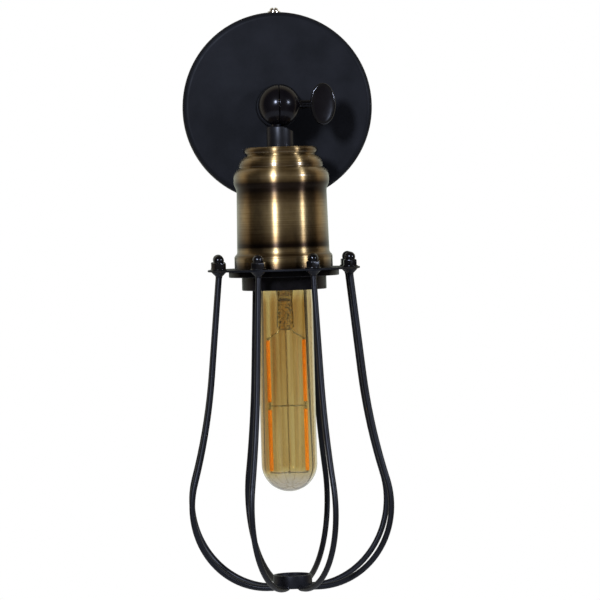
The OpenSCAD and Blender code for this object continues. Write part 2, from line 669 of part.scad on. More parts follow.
// Pressed metal socket thread, with a tab under the block that is riveted to it
module screw_shell() color("gainsboro") at_holder() difference() {
    union() {
        rotate_extrude() polygon(concat(
            [[screw_shell_in_r, -socket_floor], [screw_shell_in_r + screw_shell_t, -socket_floor]],
            thread_line(shell_thread_z, -socket_floor - screw_shell_h,
                screw_shell_in_r + screw_shell_t),
            thread_line(-socket_floor - screw_shell_h, shell_thread_z, screw_shell_in_r)));
        rotate(-shell_tab_a) rotate_extrude(angle = 2 * shell_tab_a)
            translate([shell_tab_r, -socket_floor - shell_tab_t])
                square([screw_shell_in_r + screw_shell_t / 2 - shell_tab_r, shell_tab_t]);
    }
    translate([rivet_x, 0, -socket_floor - 1]) cylinder(r = rivet_r + thread_fit, h = 2);
}

// Springy strip from its rivet to the bulb's tip
module centre_contact() color("goldenrod") at_holder() difference() {
    rotate([90, 0, 0]) translate([0, 0, -strip_w / 2]) linear_extrude(strip_w) polygon([
        [-rivet_x - strip_end, strip_z], [-rivet_x + strip_flat, strip_z], [-strip_pad, bulb_tip],
        [strip_pad, bulb_tip], [strip_pad, bulb_tip + strip_t], [-strip_pad, bulb_tip + strip_t],
        [-rivet_x + strip_flat, strip_z + strip_t], [-rivet_x - strip_end, strip_z + strip_t]]);
    translate([-rivet_x, 0, strip_z - 1]) cylinder(r = rivet_r + thread_fit, h = 3);
}

// A rivet whose lower head lies below the block's face by the stack that it clamps
module contact_rivet(stack) translate([0, 0, -socket_floor - stack - rivet_head_t]) {
    cylinder(r = rivet_head_r, h = rivet_head_t);
    cylinder(r = rivet_r, h = rivet_head_t + stack + block_t + terminal_t + rivet_end);
}

module contact_rivets() color("goldenrod") at_holder() {
    translate([rivet_x, 0, 0]) contact_rivet(shell_tab_t);
    translate([-rivet_x, 0, 0]) contact_rivet(strip_post + strip_t);
    translate([-rivet_x, 0, strip_z + strip_t]) cylinder(r = rivet_head_r, h = strip_post);
}

// A foot that is riveted to the block and a post that clamps the lead
module holder_terminals() color(BRASS) at_holder() for (s = [0, 180]) rotate(s) difference() {
    union() {
        translate([terminal_x, -terminal_w / 2, block_top])
            cube([rivet_x + rivet_head_r - terminal_x, terminal_w, terminal_t]);
        translate([terminal_x, -terminal_post[1] / 2, block_top]) cube(terminal_post);
    }
    translate([terminal_x - 1, 0, terminal_hole_z]) rotate([0, 90, 0])
        cylinder(r = lead_d / 2 + loose_fit, h = terminal_post[0]);
    translate([terminal_x + terminal_post[0] / 2, 0, terminal_hole_z])
        cylinder(r = terminal_screw_r + thread_fit, h = terminal_post[2]);
    translate([rivet_x, 0, block_top - 1]) cylinder(r = rivet_r + thread_fit, h = terminal_t + 2);
}

module terminal_screws() color("silver") at_holder() for (s = [-1, 1])
    translate([s * (terminal_x + terminal_post[0] / 2), 0, block_top + terminal_post[2]])
        difference() {
            union() {
                translate([0, 0, -1]) cylinder(r = terminal_screw_r, h = 2);
                cylinder(r = terminal_head_r, h = terminal_head_t);
            }
            translate([-2 * terminal_head_r, -terminal_slot_w / 2, terminal_head_t / 2])
                cube([4 * terminal_head_r, terminal_slot_w, terminal_head_t]);
        }

module shade_ring() color(HOLDER_COLOUR) at_holder() rotate_extrude($fn = 160) polygon([
    [ring_bore_r, ring_top], [ring_flange_d / 2 - ring_edge, ring_top],
    [ring_flange_d / 2, ring_top - ring_edge],
    [ring_flange_d / 2, ring_top - ring_flange_t + ring_edge],
    [ring_flange_d / 2 - ring_edge, ring_top - ring_flange_t],
    [ring_body_r, ring_top - ring_flange_t], [ring_body_r, ring_foot + ring_edge],
    [ring_body_r - ring_edge, ring_foot], [ring_bore_r + ring_edge, ring_foot],
    [ring_bore_r, ring_foot + ring_edge]]);

// ---------- cage ----------

module around_cage() for (i = [1 : wire_count]) rotate(wire_angle(i)) children();
function wire_angle(i) = -90 + (i - 0.5) * 360 / wire_count;

module cage_plate() color(BLACK) at_holder() difference() {
    translate([0, 0, plate_foot]) cylinder(d = plate_d, h = plate_t, $fn = 160);
    translate([0, 0, plate_foot - 1]) cylinder(r = skirt_d / 2 + slide_fit, h = plate_t + 2);
    around_cage() translate([nut_circle_r, 0, plate_foot - 1])
        cylinder(r = wire_r + slide_fit, h = plate_t + 2);
}

module cap_nut() difference() {
    union() {
        cylinder(d = nut_flange_d, h = nut_flange_t);
        translate([0, 0, nut_flange_t]) cylinder(r = nut_af / 2 / cos(30), h = nut_hex_h, $fn = 6);
        translate([0, 0, nut_h - nut_dome_r]) intersection() {
            sphere(r = nut_dome_r);
            cylinder(r = nut_dome_r + 1, h = nut_dome_r + 1);
        }
    }
    translate([0, 0, -1]) cylinder(r = wire_r, h = stub_len + 1);
}

module cap_nuts() color(BLACK) at_holder() around_cage()
    translate([nut_circle_r, 0, shell_foot]) cap_nut();

// A stretch of bent wire round centre c in the upright plane, from angle a0 to a1
module wire_arc(c, r, a0, a1) translate([c[0], 0, c[1]]) rotate([90, 0, 0]) rotate([0, 0, a0])
    rotate_extrude(angle = a1 - a0) translate([r, 0]) circle(r = wire_r);

// The ball that joins two stretches where one ends, at angle a on an arc
module wire_joint(c, r, a) translate([c[0] + r * cos(a), 0, c[1] + r * sin(a)])
    sphere(r = wire_r + joint_swell);

// One wire in its own upright plane: a threaded stub, a cone that the plate rests on,
// a leaning straight, the flare and the belly, cut to the end ring
module wire_shape() difference() {
    union() {
        translate([nut_circle_r, 0, lean_from[1]]) {
            cylinder(r = wire_r - thread_fit, h = collar_h + plate_t + stub_len - 0.1);
            cylinder(r1 = wire_r, r2 = collar_d / 2, h = collar_h);
            sphere(r = wire_r + 3 * joint_swell);
            rotate([0, 180 - wire_lean, 0]) cylinder(r = wire_r, h = lean_len);
        }
        wire_arc(flare_c, flare_r, 180 + wire_lean, 180 + join_a);
        wire_arc(belly_c, belly_r, -90, join_a);
        translate([belly_c[0], 0, cage_low]) rotate([0, -90, 0])
            cylinder(r = wire_r, h = belly_c[0] - end_ring_r + 1);
        wire_joint(flare_c, flare_r, 180 + wire_lean);
        wire_joint(flare_c, flare_r, 180 + join_a);
        wire_joint(belly_c, belly_r, -90);
    }
    translate([0, 0, cage_low - belly_r]) cylinder(r = end_ring_r, h = 2 * belly_r);
}

module cage_wire(i) color(BLACK) at_holder() rotate(wire_angle(i)) wire_shape();

module end_ring() color(BLACK) at_holder()
    translate([0, 0, end_ring_z - end_ring_h / 2])
        ring(end_ring_r, end_ring_r - end_ring_wall, end_ring_h);

// ---------- bulb ----------

function glass_line(w) = concat(
    [[glass_neck_r - w, cap_foot_z + neck_in], [glass_neck_r - w, cap_foot_z - 0.5]],
    ogee(glass_neck_r - w, cap_foot_z - 0.5, bulb_r - w, shoulder_round));

module bulb_body(w) {
    rotate_extrude($fn = 120) polygon(concat([[0, cap_foot_z + neck_in]], glass_line(w),
        [[bulb_r - w, bulb_foot + bulb_r], [0, bulb_foot + bulb_r]]));
    translate([0, 0, bulb_foot + bulb_r]) sphere(r = bulb_r - w);
}

module bulb_glass() color("#c9a45e", 0.4) at_holder() difference() {
    bulb_body(0);
    bulb_body(glass_t);
    translate([0, 0, cap_foot_z + neck_in - 1]) cylinder(r = glass_neck_r - glass_t, h = 2);
}

module bulb_cap() color("silver") at_holder() rotate_extrude($fn = 120) polygon(concat(
    [[cap_eyelet_r, cap_thread_z + cap_cone_h]],
    thread_line(cap_thread_z, cap_thread_z - cap_thread_h, cap_mean_r),
    [[cap_skirt_r, cap_thread_z - cap_thread_h - cap_bevel], [cap_skirt_r, cap_foot_z],
     [glass_neck_r + slide_fit, cap_foot_z],
     [glass_neck_r + slide_fit, cap_thread_z - cap_thread_h - cap_bevel - cap_sheet],
     [cap_in_r, cap_thread_z - cap_thread_h - cap_sheet],
     [cap_in_r, cap_thread_z - cap_sheet], [cap_eyelet_r, cap_thread_z + cap_cone_h - cap_sheet]]));

module bulb_insulator() color("black") at_holder() rotate_extrude() polygon([
    [0, bulb_tip - tip_h], [tip_r, bulb_tip - tip_h], [cap_eyelet_r, cap_thread_z + cap_cone_h],
    [cap_eyelet_r, cap_thread_z], [0, cap_thread_z]]);

module bulb_tip_contact() color("silver") at_holder() rotate_extrude() polygon([
    [0, bulb_tip - tip_h], [tip_r, bulb_tip - tip_h], [tip_r, bulb_tip - tip_h + 0.5],
    [tip_r - 1, bulb_tip], [0, bulb_tip]]);

// Flare, tube and pinch of the glass that carries the filaments
module glass_stem() color("#d8d8cc", 0.5) at_holder() {
    rotate_extrude() polygon([
        [stem_flare_r, cap_foot_z + stem_wall / 2], [stem_flare_r, cap_foot_z - stem_wall / 2],
        [stem_neck_r, cap_foot_z - stem_flare_h], [stem_r, cap_foot_z - stem_tube_h],
        [0, cap_foot_z - stem_tube_h], [0, cap_foot_z - stem_tube_h + stem_r / 2],
        [stem_r - stem_wall, cap_foot_z - stem_tube_h + stem_r / 2],
        [stem_neck_r - stem_wall, cap_foot_z - stem_flare_h + stem_wall / 2],
        [stem_flare_r - stem_wall, cap_foot_z + stem_wall / 2]]);
    hull() {
        translate([0, 0, cap_foot_z - stem_tube_h + stem_r / 4])
            cylinder(r = stem_r, h = 0.5, $fn = 24);
        translate([-pinch_w / 2, -pinch_t / 2, pinch_z]) cube([pinch_w, pinch_t, pinch_h]);
    }
}

module filaments() color("orange") at_holder() for (s = [-1, 1])
    for (z = [filament_foot, filament_mid + filament_gap / 2]) translate([s * filament_x, 0, z])
        cylinder(d = filament_d, h = filament_length);

// The middle rod, the cross wire between the pairs and the wires to the outer ends
module filament_wires() color("dimgray") at_holder() {
    translate([0, 0, filament_foot - wire_rise])
        cylinder(r = mount_wire_r, h = pinch_z - filament_foot + wire_rise);
    for (z = [filament_mid, filament_foot - wire_rise + mount_wire_r])
        translate([-filament_x, 0, z]) rotate([0, 90, 0])
            cylinder(r = mount_wire_r, h = filament_spread);
    for (s = [-1, 1]) {
        translate([s * filament_x, 0, filament_mid - filament_gap / 2])
            cylinder(r = mount_wire_r, h = filament_gap);
        translate([s * filament_x, 0, filament_foot - wire_rise])
            cylinder(r = mount_wire_r, h = wire_rise);
        translate([s * filament_x, 0, filament_top]) cylinder(r = mount_wire_r, h = wire_rise);
        translate([s * filament_x, 0, filament_top + wire_rise]) {
            sphere(r = mount_wire_r + bend_swell);
            rotate([0, s * -atan2(filament_x - wire_in_x, wire_slope_h), 0])
                cylinder(r = mount_wire_r, h = norm([filament_x - wire_in_x, wire_slope_h]));
        }
        translate([s * wire_in_x, 0, pinch_z - wire_drop]) {
            sphere(r = mount_wire_r + bend_swell);
            cylinder(r = mount_wire_r, h = wire_drop);
        }
    }
}

module driver_board() color("darkgreen") at_holder()
    translate([-board_w / 2, -board_t / 2, cap_thread_z - cap_thread_h])
        cube([board_w, board_t, cap_thread_h - 1]);

// ---------- wiring ----------

way_line_y = -(strap_t + way_y);
lead_start_z = term_z - way_len / 4;
block_foot_z = term_z - term_size[2] / 2;
lead_bend = 6; // how stiffly a lead leaves its clamp or tube
earth_bend = 8; // the same for the earth lead
clamp_bend = 4; // the same where a lead enters the holder's clamp
lead_straight = 0.5; // length of lead in the ball before it bends
outer_bend = 0.15; // the same for the outer lead in the ball, as a share of lead_meet
inner_bend = 0.26; // and for the inner lead, which passes close to the screw's boss

// s is 1 for the lead that ends on the +X terminal and -1 for the other
module arm_lead(s) lead(concat(
    [[s * term_pitch, way_line_y, lead_start_z]],
    bend([s * term_pitch, way_line_y, block_foot_z - 1], [0, 0, -lead_bend],
        [lead_x, -arm_tube_end - 1, s * lead_side], [0, -lead_bend, 0]),
    [[lead_x, -(arm_reach - lead_meet), s * lead_side]]), [1, 0, 0]);

// In the ball the two leads pass outside the screw's boss, one further out than the other
module knuckle_lead(s) lead(concat(
    [[lead_x, lead_meet, s * lead_side]],
    bend([lead_x, lead_meet - lead_straight, s * lead_side], [0, -ball_lead_bend(s), 0],
        [-lead_x, -s * lead_side, lead_straight - lead_meet], [0, 0, -ball_lead_bend(s)], 12),
    [[-lead_x, -s * lead_side, -lead_meet]]), [1, 0, 0]);
function ball_lead_bend(s) = (s > 0 ? inner_bend : outer_bend) * lead_meet;

module lamp_lead(s) lead(concat(
    [[-lead_x, -s * lead_side, neck_reach - lead_meet]],
    bend([-lead_x, -s * lead_side, holder_tube_end - 0.5], [0, 0, -lead_bend],
        [s * (terminal_x - 0.4), 0, terminal_hole_z], [s * clamp_bend, s * lead_side, 0]),
    [[s * (terminal_x + lead_in), 0, terminal_hole_z]]), [1, 0, 0]);

module lead_colour(s) color(s < 0 ? "saddlebrown" : "royalblue") children();

module arm_leads() for (s = [-1, 1]) lead_colour(s) arm_lead(s);
module knuckle_leads() at_knuckle() for (s = [-1, 1]) lead_colour(s) knuckle_lead(s);
module lamp_leads() at_holder() for (s = [-1, 1]) lead_colour(s) lamp_lead(s);

module earth_lead() color("yellowgreen") lead(concat(
    [[0, way_line_y, lead_start_z]],
    bend([0, way_line_y, block_foot_z - 1], [0, 0, -earth_bend],
        [tag_barrel_x + tag_barrel_len + 1, -tag_barrel_y, earth_z], [-earth_bend, 0, 0], 12),
    [[tag_barrel_x + lead_in, -tag_barrel_y, earth_z]]), [1, 0, 0]);

wall_bracket();
canopy();
canopy_screws();
terminal_block();
terminal_inserts();
block_screw();
earth_screw();
earth_tag();
arm_boss();
arm_tube();
arm_washer();
arm_lock_nut();
knuckle_arm_half();
knuckle_washer();
knuckle_lamp_half();
thumb_screw();
holder_tube();
holder_washer();
holder_lock_nut();
brass_shell();
holder_cap();
holder_skirt();
contact_block();
screw_shell();
centre_contact();
contact_rivets();
holder_terminals();
terminal_screws();
shade_ring();
cage_plate();
cap_nuts();
for (i = [1 : wire_count])
    cage_wire(i);
end_ring();
bulb_glass();
bulb_cap();
bulb_insulator();
bulb_tip_contact();
glass_stem();
filaments();
filament_wires();
driver_board();
arm_leads();
knuckle_leads();
lamp_leads();
earth_lead();
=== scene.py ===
"""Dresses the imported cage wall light: finer pieces, materials, studio light and camera.

Lengths are metres in the part's own frame. The origin is on the wall behind the middle of the
canopy, +Z is up and the light stands out from the wall towards -Y. Profiles and places that
are written in millimetres go through MM.
"""

import json
import math

import bmesh
import bpy
from bpy.props import FloatProperty, FloatVectorProperty, IntProperty, PointerProperty
from mathutils import Matrix, Vector, noise


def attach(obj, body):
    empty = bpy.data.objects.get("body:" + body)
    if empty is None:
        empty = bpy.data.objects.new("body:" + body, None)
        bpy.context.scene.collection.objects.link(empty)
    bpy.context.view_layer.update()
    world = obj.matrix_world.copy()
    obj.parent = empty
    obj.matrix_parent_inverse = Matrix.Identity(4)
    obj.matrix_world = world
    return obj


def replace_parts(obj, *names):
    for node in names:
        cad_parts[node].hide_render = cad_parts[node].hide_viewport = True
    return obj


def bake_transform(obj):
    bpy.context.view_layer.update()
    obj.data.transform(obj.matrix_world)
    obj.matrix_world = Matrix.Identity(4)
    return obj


bl_info = {
    "name": "Cage Wall Light",
    "version": (1, 0, 0),
    "blender": (4, 5, 0),
    "location": "3D View > Sidebar > Cage Light",
    "description": "Dresses a cage wall light piece by piece on its packed CAD frame",
    "category": "Object",
}

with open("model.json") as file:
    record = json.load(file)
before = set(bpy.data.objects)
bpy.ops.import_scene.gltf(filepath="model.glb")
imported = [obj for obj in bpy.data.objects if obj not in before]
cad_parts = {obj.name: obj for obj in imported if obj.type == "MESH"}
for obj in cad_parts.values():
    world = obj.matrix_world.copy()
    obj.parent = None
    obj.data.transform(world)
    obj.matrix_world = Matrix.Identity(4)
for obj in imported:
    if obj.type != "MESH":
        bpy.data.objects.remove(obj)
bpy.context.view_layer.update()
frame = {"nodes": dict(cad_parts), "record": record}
NODES = frame["nodes"]
BODY_OF = {node: body for body, nodes in frame["record"]["behaviour"]["bodies"].items()
           for node in nodes}

MM = 0.001
ARM_REACH = 55.0  # from the wall to the lamp's axis
WALL = Vector((0.0, 0.0, 0.0))
KNUCKLE = Vector((0.0, -ARM_REACH, 0.0))
HOLDER_Z = -21.7  # top of the brass shell
PLATE_Z = HOLDER_Z - 62.8  # top of the cage plate
PLATE_THICK = 1.0
HOLDER_BORE = 19.85  # radius of the hole in the cage plate and the shade ring
WIRE_COUNT = 8
TURN = 2 * math.pi
QUARTER = math.pi / 2
SHARP_ANGLE = math.radians(38)


# ---------- small helpers ----------

def colour(hex_code):
    """An sRGB hex value as linear red, green and blue."""
    channels = (int(hex_code[i:i + 2], 16) / 255 for i in (1, 3, 5))
    return tuple(c / 12.92 if c <= 0.04045 else ((c + 0.055) / 1.055) ** 2.4 for c in channels)


def paint(shade):
    """A hex value or a linear colour as the four numbers that a shader socket takes."""
    return (*(colour(shade) if isinstance(shade, str) else shade), 1.0)


def add_node(tree, kind, inputs=None, **settings):
    """Add a node, set its properties, and fill or link its inputs by name or number."""
    made = tree.nodes.new(kind)
    for name, value in settings.items():
        setattr(made, name, value)
    for socket, value in (inputs or {}).items():
        if isinstance(value, bpy.types.NodeSocket):
            tree.links.new(value, made.inputs[socket])
        else:
            made.inputs[socket].default_value = value
    return made


def ramp(tree, factor, stops, interpolation="LINEAR"):
    """A colour ramp on factor with (place, shade) stops. Returns its colour socket."""
    made = add_node(tree, "ShaderNodeValToRGB", {0: factor})
    made.color_ramp.interpolation = interpolation
    marks = made.color_ramp.elements
    while len(marks) < len(stops):
        marks.new(0.5)
    for mark, (place, shade) in zip(marks, stops):
        mark.position = place
        mark.color = paint(shade)
    return made.outputs[0]


def new_material(name):
    """An empty node material and its tree."""
    made = bpy.data.materials.new(name)
    made.use_nodes = True
    made.node_tree.nodes.clear()
    return made, made.node_tree


def finish(made, inputs):
    """End a material with its shader and output. Returns the material."""
    tree = made.node_tree
    shader = add_node(tree, "ShaderNodeBsdfPrincipled", inputs)
    add_node(tree, "ShaderNodeOutputMaterial", {0: shader.outputs[0]})
    return made


def along(tree, axis):
    """The Object coordinate along axis 0, 1 or 2, as a socket."""
    place = add_node(tree, "ShaderNodeTexCoord").outputs["Object"]
    return add_node(tree, "ShaderNodeSeparateXYZ", {0: place}).outputs[axis]


def millimetre_noise(tree, grain, detail=2.0, stretch=(1, 1, 1)):
    """Noise on Object coordinates with grains of that many millimetres, as a factor socket."""
    place = add_node(tree, "ShaderNodeTexCoord").outputs["Object"]
    if stretch != (1, 1, 1):
        place = add_node(tree, "ShaderNodeMapping", {0: place, "Scale": stretch}).outputs[0]
    return add_node(tree, "ShaderNodeTexNoise",
                    {"Vector": place, "Scale": 1 / (grain * MM), "Detail": detail}).outputs[0]


def surface(name, shades, rough, grain=1.2, bump=0.02, spread=12.0, **constants):
    """A finish with two shades mottled over spread mm and a fine relief of grain and bump mm.

    rough is the lowest and highest roughness. constants go straight to the shader's sockets.
    """
    made, tree = new_material(name)
    clouds = millimetre_noise(tree, spread, 3.0)
    fine = millimetre_noise(tree, grain)
    shade = ramp(tree, clouds, ((0.35, shades[0]), (0.65, shades[1])))
    roughness = add_node(tree, "ShaderNodeMapRange",
                         {0: fine, 1: 0.3, 2: 0.7, 3: rough[0], 4: rough[1]}).outputs[0]
    relief = add_node(tree, "ShaderNodeBump", {"Height": fine, "Distance": bump * MM}).outputs[0]
    return finish(made, {"Base Color": shade, "Roughness": roughness, "Normal": relief,
                         **constants})


# ---------- materials ----------

def black_coat(name, shades, rough, grain, bump, spread, gloss=0.15):
    """A black coat whose weak gloss is a little blue, as it is on every black part here."""
    return surface(name, shades, rough, grain, bump, spread,
                   **{"Specular IOR Level": gloss, "Specular Tint": paint("#C6CEE2")})


def satin_powder_coat():
    """Polyester powder coat, satin black: a soft sheen over a faint orange peel."""
    return black_coat("Satin black powder coat", ("#0B0C0F", "#111216"), (0.42, 0.5),
                      grain=2.2, bump=0.012, spread=18, gloss=0.065)


def black_enamel():
    """Stoved black enamel on turned brass: deep black with small hard highlights."""
    return black_coat("Gloss black enamel", ("#060507", "#09080A"), (0.18, 0.22),
                      grain=4.0, bump=0.008, spread=9, gloss=0.17)


def bright_enamel():
    """Enamel of the thumb screw and cap nuts, rubbed bright: rims and threads catch the light."""
    return black_coat("Polished black enamel", ("#050506", "#080708"), (0.12, 0.16),
                      grain=4.0, bump=0.006, spread=9, gloss=0.38)


def satin_enamel():
    """The same enamel over the brushed neck of the knuckle: the brush marks dull it."""
    return black_coat("Satin black enamel", ("#09090B", "#0D0D10"), (0.34, 0.4),
                      grain=3.0, bump=0.01, spread=9, gloss=0.22)


def wire_enamel():
    """Dipped black enamel on drawn wire: glossy, with slight runs that break the highlight."""
    return black_coat("Dipped black wire enamel", ("#08080B", "#0D0E12"), (0.36, 0.44),
                      grain=9.0, bump=0.02, spread=14, gloss=0.19)


def black_phenolic():
    """Pressed phenolic moulding, black: a hard gloss with faint flow marks."""
    return black_coat("Black phenolic moulding", ("#060607", "#0C0B0D"), (0.24, 0.32),
                      grain=5.0, bump=0.012, spread=6, gloss=0.08)


def zinc_plate():
    """Bright zinc on pressed steel: pale grey with a cloudy passivated bloom."""
    return surface("Zinc plated steel", ("#A9ADB3", "#C6C5BC"), (0.26, 0.42),
                   grain=0.8, bump=0.01, spread=4, Metallic=1.0)


def all_thread():
    """Zinc plated threaded tube: grooves run round its length, along Y in the arm and Z below."""
    made, tree = new_material("Zinc plated all-thread")
    total = add_node(tree, "ShaderNodeMath", {0: along(tree, 1), 1: along(tree, 2)})
    # one groove for each millimetre of length
    wave = add_node(tree, "ShaderNodeMath", {0: total.outputs[0], 1: TURN / MM},
                    operation="MULTIPLY").outputs[0]
    groove = add_node(tree, "ShaderNodeMath", {0: wave}, operation="SINE").outputs[0]
    # painted shade: the ramp makes the grooves' floors darker than their crests
    shade = ramp(tree, groove, ((0.0, "#6E7176"), (0.6, "#B9BBBE")))
    relief = add_node(tree, "ShaderNodeBump", {"Height": groove, "Distance": 0.3 * MM}).outputs[0]
    return finish(made, {"Base Color": shade, "Metallic": 1.0, "Roughness": 0.33,
                         "Normal": relief})


def chrome_plate():
    """Bright chrome on small screws: mirror grey with a trace of wear in its gloss."""
    return surface("Polished chrome", ("#C9CBD0", "#DDDEE0"), (0.06, 0.14),
                   grain=0.9, bump=0.004, spread=3, Metallic=1.0)


def plain_brass():
    """Machined brass, not lacquered: yellow with a dulled, slightly brown skin."""
    return surface("Machined brass", ("#C9A25A", "#A98443"), (0.24, 0.4),
                   grain=0.6, bump=0.01, spread=3, Metallic=1.0)


def nickel_plate():
    """Nickel plated sheet rolled into a thread: warm grey, half bright."""
    return surface("Nickel plated sheet", ("#B4B1AA", "#CBC8C0"), (0.2, 0.34),
                   grain=0.7, bump=0.01, spread=4, Metallic=1.0)


def nylon():
    """Moulded polyamide, natural: milky white, matt, with light passing into thin walls."""
    return surface("Moulded nylon", ("#DAD7CC", "#E8E5DC"), (0.45, 0.6),
                   grain=0.8, bump=0.02, spread=6, **{"Subsurface Weight": 0.15,
                                                      "Subsurface Scale": 0.002})


def porcelain():
    """Glazed porcelain: a cold white body under a wet clear glaze."""
    return surface("Glazed porcelain", ("#E4E1DA", "#F0EEE8"), (0.12, 0.2),
                   grain=2.5, bump=0.02, spread=5, **{"Coat Weight": 0.6, "Coat Roughness": 0.05})


def glass_bead():
    """Pressed black glass round the tip contact: jet black and wet looking."""
    return surface("Black glass bead", ("#050506", "#0B0A0D"), (0.04, 0.1),
                   grain=1.5, bump=0.01, spread=3)


def pvc(name, light, dark):
    """Extruded PVC insulation: an even waxy colour with drag lines from the die."""
    return surface(name, (dark, light), (0.38, 0.5), grain=0.9, bump=0.01, spread=5)


def circuit_board():
    """Glass-fibre board under green solder resist: matt green with a woven ground."""
    return surface("Green circuit board", ("#1C5A38", "#0F4429"), (0.35, 0.5),
                   grain=0.5, bump=0.01, spread=1.5)


def weld_metal():
    """Spot weld under the enamel: a lumpy bead, glossier on its crown."""
    return black_coat("Enamelled weld bead", ("#09090B", "#101014"), (0.25, 0.4),
                      grain=0.7, bump=0.12, spread=3, gloss=0.25)


def phosphor(settings):
    """Silicone and yellow phosphor over a string of chips: saturated orange, faintly lit."""
    made, tree = new_material("Orange filament phosphor")
    grain = millimetre_noise(tree, 0.9, stretch=(1, 1, 0.35))
    shade = ramp(tree, grain, ((0.3, "#F07400"), (0.7, "#FF9A12")))
    relief = add_node(tree, "ShaderNodeBump", {"Height": grain, "Distance": 0.05 * MM}).outputs[0]
    return finish(made, {"Base Color": shade, "Roughness": 0.5, "Normal": relief,
                         "Emission Color": paint(settings.filament_glow),
                         "Emission Strength": settings.filament_light})


def amber_glass(settings):
    """Blown soda glass with a gold lustre: amber on the wall, clear at the foot and tip."""
    made, tree = new_material("Amber lustre glass")
    height = along(tree, 2)
    # the lustre fades out over 9 mm near the bulb's foot
    coated = add_node(tree, "ShaderNodeMapRange",
                      {0: height, 1: -0.1965, 2: -0.1875, 3: 0.0, 4: 1.0},
                      interpolation_type="SMOOTHSTEP").outputs[0]
    # and it thins towards the neck
    necked = add_node(tree, "ShaderNodeMapRange",
                      {0: height, 1: -0.104, 2: -0.092, 3: 1.0, 4: 0.55},
                      interpolation_type="SMOOTHSTEP").outputs[0]
    coated = add_node(tree, "ShaderNodeMath", {0: coated, 1: necked},
                      operation="MULTIPLY").outputs[0]
    # blown glass carries slow upright waves in how thick its lustre lies
    waves = millimetre_noise(tree, 5, 3.0, (1, 1, 0.04))
    depth = add_node(tree, "ShaderNodeMath", {0: coated, 1: waves}, operation="MULTIPLY").outputs[0]
    shade = ramp(tree, depth, ((0.0, settings.glass_clear), (0.42, settings.glass_amber),
                               (0.6, settings.glass_deep)))
    return finish(made, {"Base Color": shade, "Roughness": 0.01, "IOR": 1.5,
                         "Transmission Weight": 1.0})


def stem_glass():
    """Lead glass drawn and pinched in a flame: clear, with painted dark and gold specks of
    reflection and glint, and a rippled skin.
    """
    made, tree = new_material("Pinched clear glass")
    ripple = millimetre_noise(tree, 1.3, 3.0)
    # dark and gold specks: painted reflections and glints of the pinch, spread through the stem
    shade = ramp(tree, millimetre_noise(tree, 0.7, 1.0), (
        (0.38, "#2A1E10"), (0.46, "#E6DCC0"), (0.56, "#F4F1E6"), (0.62, "#E0B050")))
    relief = add_node(tree, "ShaderNodeBump", {"Height": ripple, "Distance": 0.7 * MM}).outputs[0]
    return finish(made, {"Base Color": shade, "Roughness": 0.04, "IOR": 1.3,
                         "Transmission Weight": 1.0, "Normal": relief})


def antique_brass(settings):
    """Spun brass, blackened then brushed round its axis and lacquered.

    The brush leaves yellow metal on the crowns and brown-black oxide in the steps, fine
    rings round the body, and highlights smeared along the axis. The colour bands down the
    shell are partly that oxide and partly painted shade and reflection, darkest under the
    bulge and near the hem.
    """
    made, tree = new_material("Brushed antique brass")
    height = along(tree, 2)
    # 0 at the shell's top, 1 at its foot
    down = add_node(tree, "ShaderNodeMapRange", {
        0: height, 1: HOLDER_Z * MM, 2: PLATE_Z * MM, 3: 0.0, 4: 1.0}).outputs[0]
    bright, mid, dark = settings.brass_bright, settings.brass_brown, settings.brass_black
    # bands down the shell: real oxide left in the steps, and painted shade and reflection in the
    # dark bands under the bulge and near the hem
    patina_and_shade = ramp(tree, down, (
        (0.0, bright), (0.03, mid), (0.07, bright), (0.11, bright), (0.15, mid), (0.18, bright),
        (0.24, bright), (0.28, mid), (0.30, dark), (0.36, dark), (0.42, mid), (0.5, bright),
        (0.6, bright), (0.76, mid), (0.8, dark), (0.82, dark), (0.85, bright), (0.89, mid),
        (0.925, bright), (0.96, mid), (1.0, dark)))
    # brush rings 0.55 mm apart, drawn as coarse as a render of the whole light can show
    rings = millimetre_noise(tree, 0.55, 3.0, (0.02, 0.02, 1.0))
    cloud = millimetre_noise(tree, 5, 4.0, (1.0, 1.0, 0.7))
    brushed = add_node(tree, "ShaderNodeMix", {
        "Factor": rings, 6: patina_and_shade, 7: paint(mid)}, data_type="RGBA", blend_type="OVERLAY")
    clouded = add_node(tree, "ShaderNodeMix", {
        "Factor": add_node(tree, "ShaderNodeMapRange", {0: cloud, 1: 0.4, 2: 0.75, 3: 0.0,
                                                        4: 0.35}).outputs[0],
        6: brushed.outputs[2], 7: paint(dark)}, data_type="RGBA", blend_type="MIX")
    # the dark bands, oxide and painted shade alike, are matt and the lacquer shines only on the
    # brushed metal
    gloss = add_node(tree, "ShaderNodeMapRange",
                     {0: patina_and_shade, 1: 0.04, 2: 0.28, 3: 0.03, 4: 0.6}).outputs[0]
    relief = add_node(tree, "ShaderNodeBump", {
        "Height": rings, "Distance": settings.brush_depth, "Strength": 0.7}).outputs[0]
    tangent = add_node(tree, "ShaderNodeTangent", direction_type="RADIAL", axis="Z").outputs[0]
    return finish(made, {
        "Base Color": clouded.outputs[2], "Metallic": 1.0, "Roughness": 0.39, "Normal": relief,
        "Anisotropic": 1.0, "Anisotropic Rotation": 0.25, "Tangent": tangent,
        "Coat Weight": gloss, "Coat Roughness": 0.16})


# ---------- modelling helpers ----------

def shift(bm, x=0.0, y=0.0, z=0.0):
    """Move a whole bmesh."""
    bmesh.ops.translate(bm, vec=(x, y, z), verts=bm.verts[:])


def resize(bm, x, y, z):
    """Scale a whole bmesh about the origin."""
    bmesh.ops.scale(bm, vec=(x, y, z), verts=bm.verts[:])


def rotate(bm, angle, axis):
    """Turn a whole bmesh about an axis through the origin."""
    bmesh.ops.rotate(bm, cent=(0, 0, 0), matrix=Matrix.Rotation(angle, 3, axis),
                     verts=bm.verts[:])


